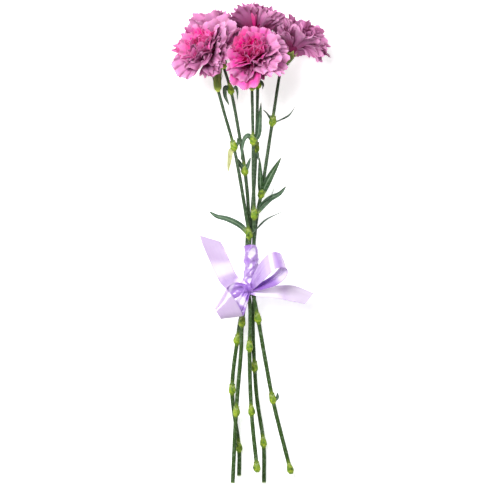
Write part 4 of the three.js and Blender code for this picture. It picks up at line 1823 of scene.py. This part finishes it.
    def give_way(self, points: Array, planes: list[Limit], layer: float) -> Array:
        """Bends points back to the near side of each plane, softly, so that layers stay in order.

        Args:
            points: Points of a petal.
            planes: The planes.
            layer: The petal's place in the order.

        Returns:
            The bent points.
        """
        for plane in planes:
            floor = self.give_gap + plane.low + plane.layer * min(layer, self.give_layers)
            soft = floor + self.give_depth
            distance = (points - plane.point) @ plane.normal
            deep = np.minimum(distance - soft, 0) / self.give_depth
            kept = floor + self.give_depth * np.exp(deep)
            move = np.where(distance < soft, kept - distance, 0)
            points = points + np.array(plane.normal) * move[..., None]
        return points

    def core(self, body: Body) -> None:
        """Adds the crumpled middle that the petals stand out of.

        Args:
            body: The mesh that it goes into.
        """
        axis = self.frame()[0]
        profile = np.array(self.core_profile)
        steps = np.linspace(0, 1, self.core_rings)
        wide = np.interp(steps, np.linspace(0, 1, len(profile)), profile[:, 0])
        high = np.interp(steps, np.linspace(0, 1, len(profile)), profile[:, 1])
        angle = 2 * np.pi * np.arange(self.core_sides) / self.core_sides
        creased = 1 - self.core_creases * np.abs(np.sin(angle[None] * 4 + steps[:, None] * 5))
        centres = np.array(self.flower.throat) + axis * high[:, None]
        ways = np.tile(axis, (self.core_rings, 1))
        rings = rings_on(centres, ways, wide[:, None] * creased, self.core_sides)
        marks = {"along": 0.4, "across": np.cos(angle)[None], "tone": 0.5, "blush": self.flower.heat}
        # Its fold mark paints the valleys' shade over the whole core
        body.loft(rings, {**marks, "fold": 0.8})

    def build(self, finish: bpy.types.Material) -> None:
        """Builds the bloom and stands it in for its solid.

        Args:
            finish: The petals' finish.
        """
        body = Body()
        self.core(body)
        solid, between = self.limits(), self.limits(self.filler_over)
        for number, petal in enumerate(self.petals()):
            points, marks = self.grid(petal, solid if number < self.solid_petals else between)
            thick = self.thickness * (1 - 0.35 * marks["along"])
            body.blade(points, thick, marks)
        name = self.flower.name
        body.piece(f"petals_of_{name}", finish, f"bloom_{name}", Slot.PETAL)


def way_marks(ways: Array) -> dict:
    """Returns the way across a ribbon as three marks, one for each axis."""
    return {f"way_{axis}": ways[..., number] for number, axis in enumerate("xyz")}


@dataclass(frozen=True)
class Strip:
    """A stretch of ribbon: its middle points, its half-widths there, and how it is pleated.

    Pleats is how many it has and pleated how deep they are. The root shade is how much painted shade
    it has where it leaves the knot, at both ends if it is closed, and billow how far it waves. Turned
    is whether its back shows. Each painted band has its place along the strip, its width and its
    strength: a painted highlight above 0, and painted shade below 0.
    """

    middle: tuple[Point, ...]
    half: tuple[Point, ...]
    pleats: float = 3.0
    pleated: float = 1.3
    painted_root_shade: float = 0.5
    closed: bool = False
    turned: bool = False
    phase: float = 0.0
    billow: float = 0.6
    painted_bands: tuple[Point, ...] = ()


@dataclass
class Ribbon:
    """The satin ribbon: wound crosswise round the stems, knotted, with two loops and two tails."""

    width: float = 25.0
    thickness: float = 0.3
    steps: int = 14
    columns: int = 19
    deepest_pleat: float = 2.6
    wrap_top: float = -3.4
    wrap_bottom: float = -51.0
    wrap_radius: float = 7.2
    wrap_layer: float = 0.42
    wrap_turns: float = 1.0
    wrap_gathered: float = 0.3
    wrap_grid: tuple[int, int] = (110, 25)
    # How each winding turns, its angle at the bottom in degrees, and how many layers lie under it
    windings: tuple[tuple[int, float, int], ...] = ((1, 190, 1), (-1, 315, 2))
    crumple: float = 1.25
    wound_crumple: float = 0.5
    # How strong the painted highlight on the wound satin's diamonds is
    wound_painted_highlight: float = 0.9
    sleeve_grid: tuple[int, int] = (50, 121)
    seam: float = 0.4
    top_lift: float = 2.4
    bundle: Bundle = Bundle()
    knot: Point = (-2.5, -50.5, 38)
    knot_reach: float = 5.2
    knot_rise: float = 4.4
    knot_half: float = 4.8
    knot_way: Point = (0.35, -0.94, 0.0)
    knot_from: float = -80
    knot_to: float = 260
    knot_points: int = 13
    strips: tuple[Strip, ...] = (
        Strip(
            middle=(
                (-3, -51, 38),
                (-12, -52, 39),
                (-22, -55, 40),
                (-30, -58.5, 42.5),
                (-33, -61, 47),
                (-30.5, -65, 50.5),
                (-26.5, -71, 51),
                (-22, -79, 49),
                (-20.3, -82.5, 45.5),
                (-17, -78, 42),
                (-11, -68, 40.5),
                (-5.5, -58, 39.5),
                (-3, -52, 38.5),
            ),
            half=(
                (0.5, 4.5, 0),
                (1.5, 8, 0),
                (3.5, 11, 0),
                (6.2, 11.5, 0),
                (6.7, 11, 0),
                (8.5, 9.5, 0),
                (10.8, 6.5, 0),
                (12, 3.5, 0),
                (12.4, 1.8, 0),
                (11, 0, -2),
                (7.5, -1.5, -1),
                (4.5, -1.5, 0),
                (3.5, -1, 0),
            ),
            phase=2.1,
            pleats=2.4,
            closed=True,
            painted_bands=((0.2, 0.05, 0.5), (0.86, 0.04, 0.7)),
        ),
        Strip(
            middle=((-4, -50, 37), (-13, -48, 36), (-22.5, -42, 36), (-31.5, -25, 35.6), (-45, 5.9, 35)),
            half=((1.5, 4, 0), (5, 7.5, 0), (8.5, 5, -2), (9.5, 4, -1), (13, -4, -3)),
            pleated=0.2,
            painted_root_shade=0.9,
            turned=True,
            phase=1.2,
            billow=0.2,
            painted_bands=((0.7, 0.12, 0.7), (0.5, 0.08, -0.25)),
        ),
        Strip(
            middle=((0, -53, 37), (12, -54, 38), (27, -53.8, 38), (46, -55.8, 33), (67, -62, 25)),
            half=((0, 4, 0), (0.5, 6, -5), (1, 6.5, -9), (2, 8.5, -8), (5, 6, -7)),
            phase=0.2,
            pleated=0.25,
            painted_root_shade=0.25,
            painted_bands=((0.34, 0.36, 0.8), (0.9, 0.3, 0.4)),
        ),
    )
    loop_root: Point = (1.0, -49.5, 38.0)
    loop_outward: Point = (0.705, 0.613, 0.355)
    loop_across: Point = (0.265, -0.69, 0.67)
    # How far out each point is, how far up, half the width there, and how far aside it lies
    loop_outline: tuple[tuple[float, float, float, float], ...] = (
        (0, 0.5, 4.5, 0),
        (12, 4.5, 9, 0),
        (26, 8, 12, 0),
        (39, 9.5, 12.5, 0),
        (48, 7, 12.5, 1),
        (51, 0, 12, 3),
        (46, -5, 11, 6.5),
        (32, -6, 9, 9.5),
        (14, -3.5, 6, 6.5),
        (0, -1, 4, 1),
    )

    def loop(self) -> Strip:
        """Shapes the upper loop, an open teardrop turned so that its inside shows.

        Returns:
            Its strip.
        """
        root = np.array(self.loop_root)
        out, across = unit(np.array(self.loop_outward)), unit(np.array(self.loop_across))
        rise = unit(np.cross(across, out))
        middle = tuple(
            tuple(root + out * far + rise * up + across * aside)
            for far, up, _, aside in self.loop_outline
        )
        half = tuple(tuple(across * wide) for _, _, wide, _ in self.loop_outline)
        # Painted highlights and painted shade across the loop, where it faces the light or turns away
        painted_bands = ((0.36, 0.035, 0.9), (0.7, 0.12, 0.75), (0.2, 0.1, -0.3), (0.46, 0.08, -0.65))
        return Strip(middle, half, phase=0.6, closed=True, turned=True, painted_bands=painted_bands)

    def strip(self, body: Body, strip: Strip) -> float:
        """Adds a stretch of ribbon, pleated where it is gathered.

        Args:
            body: The mesh that it goes into.
            strip: Its shape.

        Returns:
            Its length.
        """
        share = np.linspace(0, 1, (len(strip.middle) - 1) * self.steps + 1)
        line = Spline(strip.middle)
        centre, along = line.at(share), line.along(share)
        reach = Spline(strip.half).at(share)
        long = np.linalg.norm(reach, axis=1)
        reach = reach * np.minimum(1, self.width / 2 / long)[:, None]
        half = np.linalg.norm(reach, axis=1)
        gather = np.maximum(self.width / 2 / half, 1)
        depth = strip.pleated * half * np.sqrt(gather - 1) / (np.pi * strip.pleats)
        depth = np.minimum(depth, self.deepest_pleat)
        normal = unit(np.cross(along, reach))
        side = np.linspace(-1, 1, self.columns)[None]
        # Pleats pinched by hand are uneven, so their places and depths wander
        bent = side + 0.22 * np.sin(2.3 * side + strip.phase * 2) + 0.1 * np.sin(5.1 * side + strip.phase)
        fold = depth[:, None] * np.sin(np.pi * strip.pleats * bent + strip.phase + 2 * share[:, None])
        fold = fold * (0.75 + 0.35 * np.sin(3.4 * side + 7 * share[:, None]))
        billow = strip.billow * np.sin(share * 9 + strip.phase)[:, None] * (1 - 0.5 * side**2)
        billow = billow * smooth(share * 5)[:, None]
        rise = (fold + billow)[..., None]
        grid = centre[:, None] + reach[:, None] * side[..., None] + normal[:, None] * rise
        length = float(np.linalg.norm(np.diff(centre, axis=0), axis=1).sum())
        # Painted shade where the satin is gathered, most of all in the first third from the knot, and in
        # its dark painted bands
        ends = np.maximum(smooth(1 - share * 3), smooth(share * 3 - 2) * strip.closed)
        painted_root_shade = strip.painted_root_shade * ends
        gleam, shade = self.bands(strip, share[:, None], side)
        marks = {
            "along": (share * length / self.width)[:, None],
            "across": side,
            "gather": np.clip(((gather - 1.3) / 2.5 + painted_root_shade)[:, None] + shade, 0, 0.85),
            "crumpled": 0.12 + 0.4 * ends[:, None],
            "turned": float(strip.turned),
            "gleam": gleam,
            **way_marks(unit(reach)[:, None]),
        }
        body.blade(grid, self.thickness, marks)
        return length

    @staticmethod
    def bands(strip: Strip, share: Array, side: Array) -> tuple[Array, Array]:
        """Finds the painted highlights and painted shade that cross a strip where it would face the light
        or turn away.

        Args:
            strip: The strip.
            share: Shares of the way along it, one row each.
            side: Places across it, from -1 to 1.

        Returns:
            The painted highlight and the painted shade at each of its points.
        """
        gleam = shade = np.zeros((len(share), side.shape[1]))
        for place, wide, strong in strip.painted_bands:
            apart = (share - place + 0.02 * side) / wide
            band = abs(strong) * smooth(1.6 - np.abs(apart) * 1.6)
            gleam = np.maximum(gleam, band * (strong > 0))
            shade = np.maximum(shade, band * (strong < 0))
        return gleam, shade

    @staticmethod
    def crossed(heights: Array, angle: Array) -> tuple[Array, Array]:
        """Makes two slanted waves that cross on the wound satin and part it in diamonds.

        Args:
            heights: Heights on Y.
            angle: Angles round the stems.

        Returns:
            Both waves, from -1 to 1.
        """
        rising = np.sin(heights * 0.19 + angle * 1.6 + 0.5 * np.sin(heights * 0.3))
        falling = np.sin(heights * 0.21 - angle * 1.7 + 1)
        return rising, falling

    def crumpled(self, heights: Array, angle: Array) -> Array:
        """Crumples the wound satin, in flats between sharp ridges.

        Args:
            heights: Heights on Y.
            angle: Angles round the stems.

        Returns:
            How far it stands out.
        """
        rising, falling = self.crossed(heights, angle)
        small = 1 - np.abs(np.sin(heights * 0.5 + angle * 0.9 + 2))
        ridges = 1 - np.abs(rising) + 0.9 * (1 - np.abs(falling))
        return self.crumple * (ridges + 0.35 * small - 0.8)

    def flats(self, heights: Array, angle: Array) -> Array:
        """Returns the painted highlight on the wound satin, from 0 to 1, in alternate diamonds that stand
        for where it faces the light.
        """
        rising, falling = self.crossed(heights, angle)
        return smooth((rising * falling - 0.15) * 2.2)

    def round_stems(self, radius: Array, angle: Array, heights: Array) -> Array:
        """Places points round the bundle of stems.

        Args:
            radius: Their distance from its middle.
            angle: Their angles from straight up.
            heights: Their heights on Y.

        Returns:
            The points.
        """
        across = self.bundle.x + radius * np.sin(angle)
        up = self.bundle.z + radius * np.cos(angle)
        return np.stack([across, heights + 0 * angle, up], axis=-1)

    def wound(self, heights: Array, angle: Array) -> dict:
        """Returns the marks that the sleeve and the windings share."""
        return {
            "crumpled": self.wound_crumple,
            "gleam": self.flats(heights, angle) * self.wound_painted_highlight,
            **way_marks(UP_THE_STEMS),
        }

    def sleeve(self, body: Body) -> float:
        """Adds the turn of ribbon that lies flat round the stems under the crossed ones.

        Args:
            body: The mesh that it goes into.

        Returns:
            Its length.
        """
        rows, columns = self.sleeve_grid
        angle = np.linspace(-np.pi - self.seam, np.pi + self.seam, columns)[None]
        top = self.wrap_top + self.top_lift * np.cos(angle)
        heights = self.wrap_bottom + (top - self.wrap_bottom) * np.linspace(0, 1, rows)[:, None]
        overlap = smooth((angle - np.pi + self.seam) / self.seam) * 0.5
        stands = self.crumpled(heights, angle)
        grid = self.round_stems(self.wrap_radius + stands + overlap, angle, heights)
        marks = {
            "along": angle / 2,
            "across": heights / self.width % 1 * 1.6 - 0.8,
            # Painted shade in the crumples' hollows
            "gather": np.clip(0.8 - 0.4 * (stands / self.crumple), 0.05, 0.9),
            "turned": 1.0,
            **self.wound(heights, angle),
        }
        body.blade(grid, self.thickness, marks)
        girth = 2 * (np.pi + self.seam) * self.wrap_radius
        return girth * (self.wrap_top - self.wrap_bottom) / self.width

    def wrap(self, body: Body, hand: int, start: float, layer: int) -> float:
        """Adds one winding round the stems, crumpled where it crosses the other.

        Args:
            body: The mesh that it goes into.
            hand: 1 or -1, the way that it winds.
            start: Its angle at the bottom, in degrees.
            layer: How many layers are under it.

        Returns:
            Its length.
        """
        rows, columns = self.wrap_grid
        share = np.linspace(0, 1, rows)[:, None]
        side = np.linspace(-1, 1, columns)[None]
        rise = self.wrap_top - self.wrap_bottom
        girth = 2 * np.pi * self.wrap_radius * self.wrap_turns
        slope = math.atan2(rise, girth)
        half = self.width / 2 * self.wrap_gathered
        y = self.wrap_bottom + rise * share + side * half * math.cos(slope)
        held = np.clip(y, self.wrap_bottom, self.wrap_top)
        turned = 2 * np.pi * self.wrap_turns * share - side * half * math.sin(slope) / self.wrap_radius
        angle = math.radians(start) + hand * turned
        stands = self.crumpled(held, angle)
        radius = self.wrap_radius + self.wrap_layer * layer + stands
        radius = radius + 0.02 * np.abs(y - held)
        grid = self.round_stems(radius, angle, held)
        marks = {
            "along": share * math.hypot(rise, girth) / self.width,
            "across": side,
            # Painted shade in the crumples' hollows
            "gather": np.clip(0.25 - 0.3 * stands / self.crumple, 0, 0.9),
            "turned": float(hand > 0),
            **self.wound(held, angle),
        }
        body.blade(grid, self.thickness, marks)
        return math.hypot(rise, girth)

    def band(self) -> Strip:
        """Shapes the short stretch that goes round the knot.

        Returns:
            Its strip.
        """
        way = unit(np.array(self.knot_way))
        side = np.array([-way[1], way[0], 0.0])
        turns = np.radians(np.linspace(self.knot_from, self.knot_to, self.knot_points))
        centre = np.array(self.knot)
        middle = [
            tuple(centre + way * self.knot_reach * math.cos(a) + UP * self.knot_rise * math.sin(a))
            for a in turns
        ]
        swell = [self.knot_half * (0.8 + 0.2 * abs(math.cos(a))) for a in turns]
        return Strip(tuple(middle), tuple(tuple(side * s) for s in swell), pleats=4.0, billow=0.3)

    def build(self, finish: bpy.types.Material) -> None:
        """Builds the ribbon and stands it in for its solid.

        Args:
            finish: The satin's finish.
        """
        body = Body()
        length = sum(self.strip(body, strip) for strip in (*self.strips, self.loop(), self.band()))
        length += self.sleeve(body)
        length += sum(self.wrap(body, *winding) for winding in self.windings)
        made = body.piece("satin_ribbon", finish, "ribbon", Slot.RIBBON)
        LOG.info("%s: %.0f mm long", made.name, length)


@dataclass
class Studio:
    """The camera over the lying bunch, the pale surface and the soft lights, in metres."""

    centre_x: float = -0.0026
    centre_y: float = -0.0063
    view_plane: float = 0.04
    view_width: float = 0.5625
    distance: float = 6.0
    sensor: float = 36.0
    surface_size: float = 6.0
    world_strength: float = 0.3
    key_power: float = 42.0
    key_size: float = 0.9
    key_place: Point = (-0.6, 0.75, 1.7)
    fill_power: float = 3.0
    fill_size: float = 1.4
    fill_place: Point = (0.9, -0.6, 1.3)
    lit_place: Point = (0, 0.05, 0.03)
    far: float = 20.0

    def camera(self) -> None:
        """Places the camera straight over the bunch, with the blooms at the top of the picture."""
        data = bpy.data.cameras.new("camera")
        data.sensor_width = self.sensor
        data.lens = self.sensor * self.distance / self.view_width
        data.clip_end = self.far
        made = bpy.data.objects.new("camera", data)
        made.location = (self.centre_x, self.centre_y, self.view_plane + self.distance)
        bpy.context.scene.collection.objects.link(made)
        bpy.context.scene.camera = made

    def light(self, name: str, place: Point, size: float, power: float) -> None:
        """Hangs a square soft light that looks at the bunch.

        Args:
            name: The light's name.
            place: Where it hangs.
            size: The length of its side.
            power: Its power in watts.
        """
        data = bpy.data.lights.new(name, "AREA")
        data.size = size
        data.energy = power
        made = bpy.data.objects.new(name, data)
        made.location = place
        aim = Vector(self.lit_place) - made.location
        made.rotation_euler = aim.to_track_quat("-Z", "Y").to_euler()
        bpy.context.scene.collection.objects.link(made)

    def surface(self, finish: bpy.types.Material) -> None:
        """Lays the surface under the bunch.

        Args:
            finish: The surface's finish.
        """
        half = self.surface_size / 2
        mesh = bpy.data.meshes.new("surface")
        corners = [(-half, -half, 0), (half, -half, 0), (half, half, 0), (-half, half, 0)]
        mesh.from_pydata(corners, [], [(0, 1, 2, 3)])
        mesh.materials.append(finish)
        made = bpy.data.objects.new("surface", mesh)
        bpy.context.scene.collection.objects.link(made)

    def build(self, finish: bpy.types.Material) -> None:
        """Lights the bunch on its surface.

        Args:
            finish: The surface's finish.
        """
        self.surface(finish)
        self.light("key", self.key_place, self.key_size, self.key_power)
        self.light("fill", self.fill_place, self.fill_size, self.fill_power)
        world = bpy.data.worlds.new("world")
        world.use_nodes = True
        sky = world.node_tree.nodes["Background"]
        sky.inputs["Color"].default_value = (1, 1, 1, 1)
        sky.inputs["Strength"].default_value = self.world_strength
        bpy.context.scene.world = world
        bpy.context.scene.view_settings.view_transform = "Standard"


def main() -> None:
    """Builds the bunch in its studio."""
    logging.basicConfig(level=logging.INFO, format="%(name)s: %(message)s")
    studio = Studio()
    studio.camera()
    stalk, leaf, calyx = StalkFinish().build(), LeafFinish().build(), CalyxFinish().build()
    petal = PetalFinish().build()
    for flower in FLOWERS:
        Stalk(flower).build(stalk, leaf, calyx)
        Bloom(flower).build(petal)
    Ribbon().build(SatinFinish().build())
    studio.build(SurfaceFinish().build())


if __name__ == "__main__":
    main()
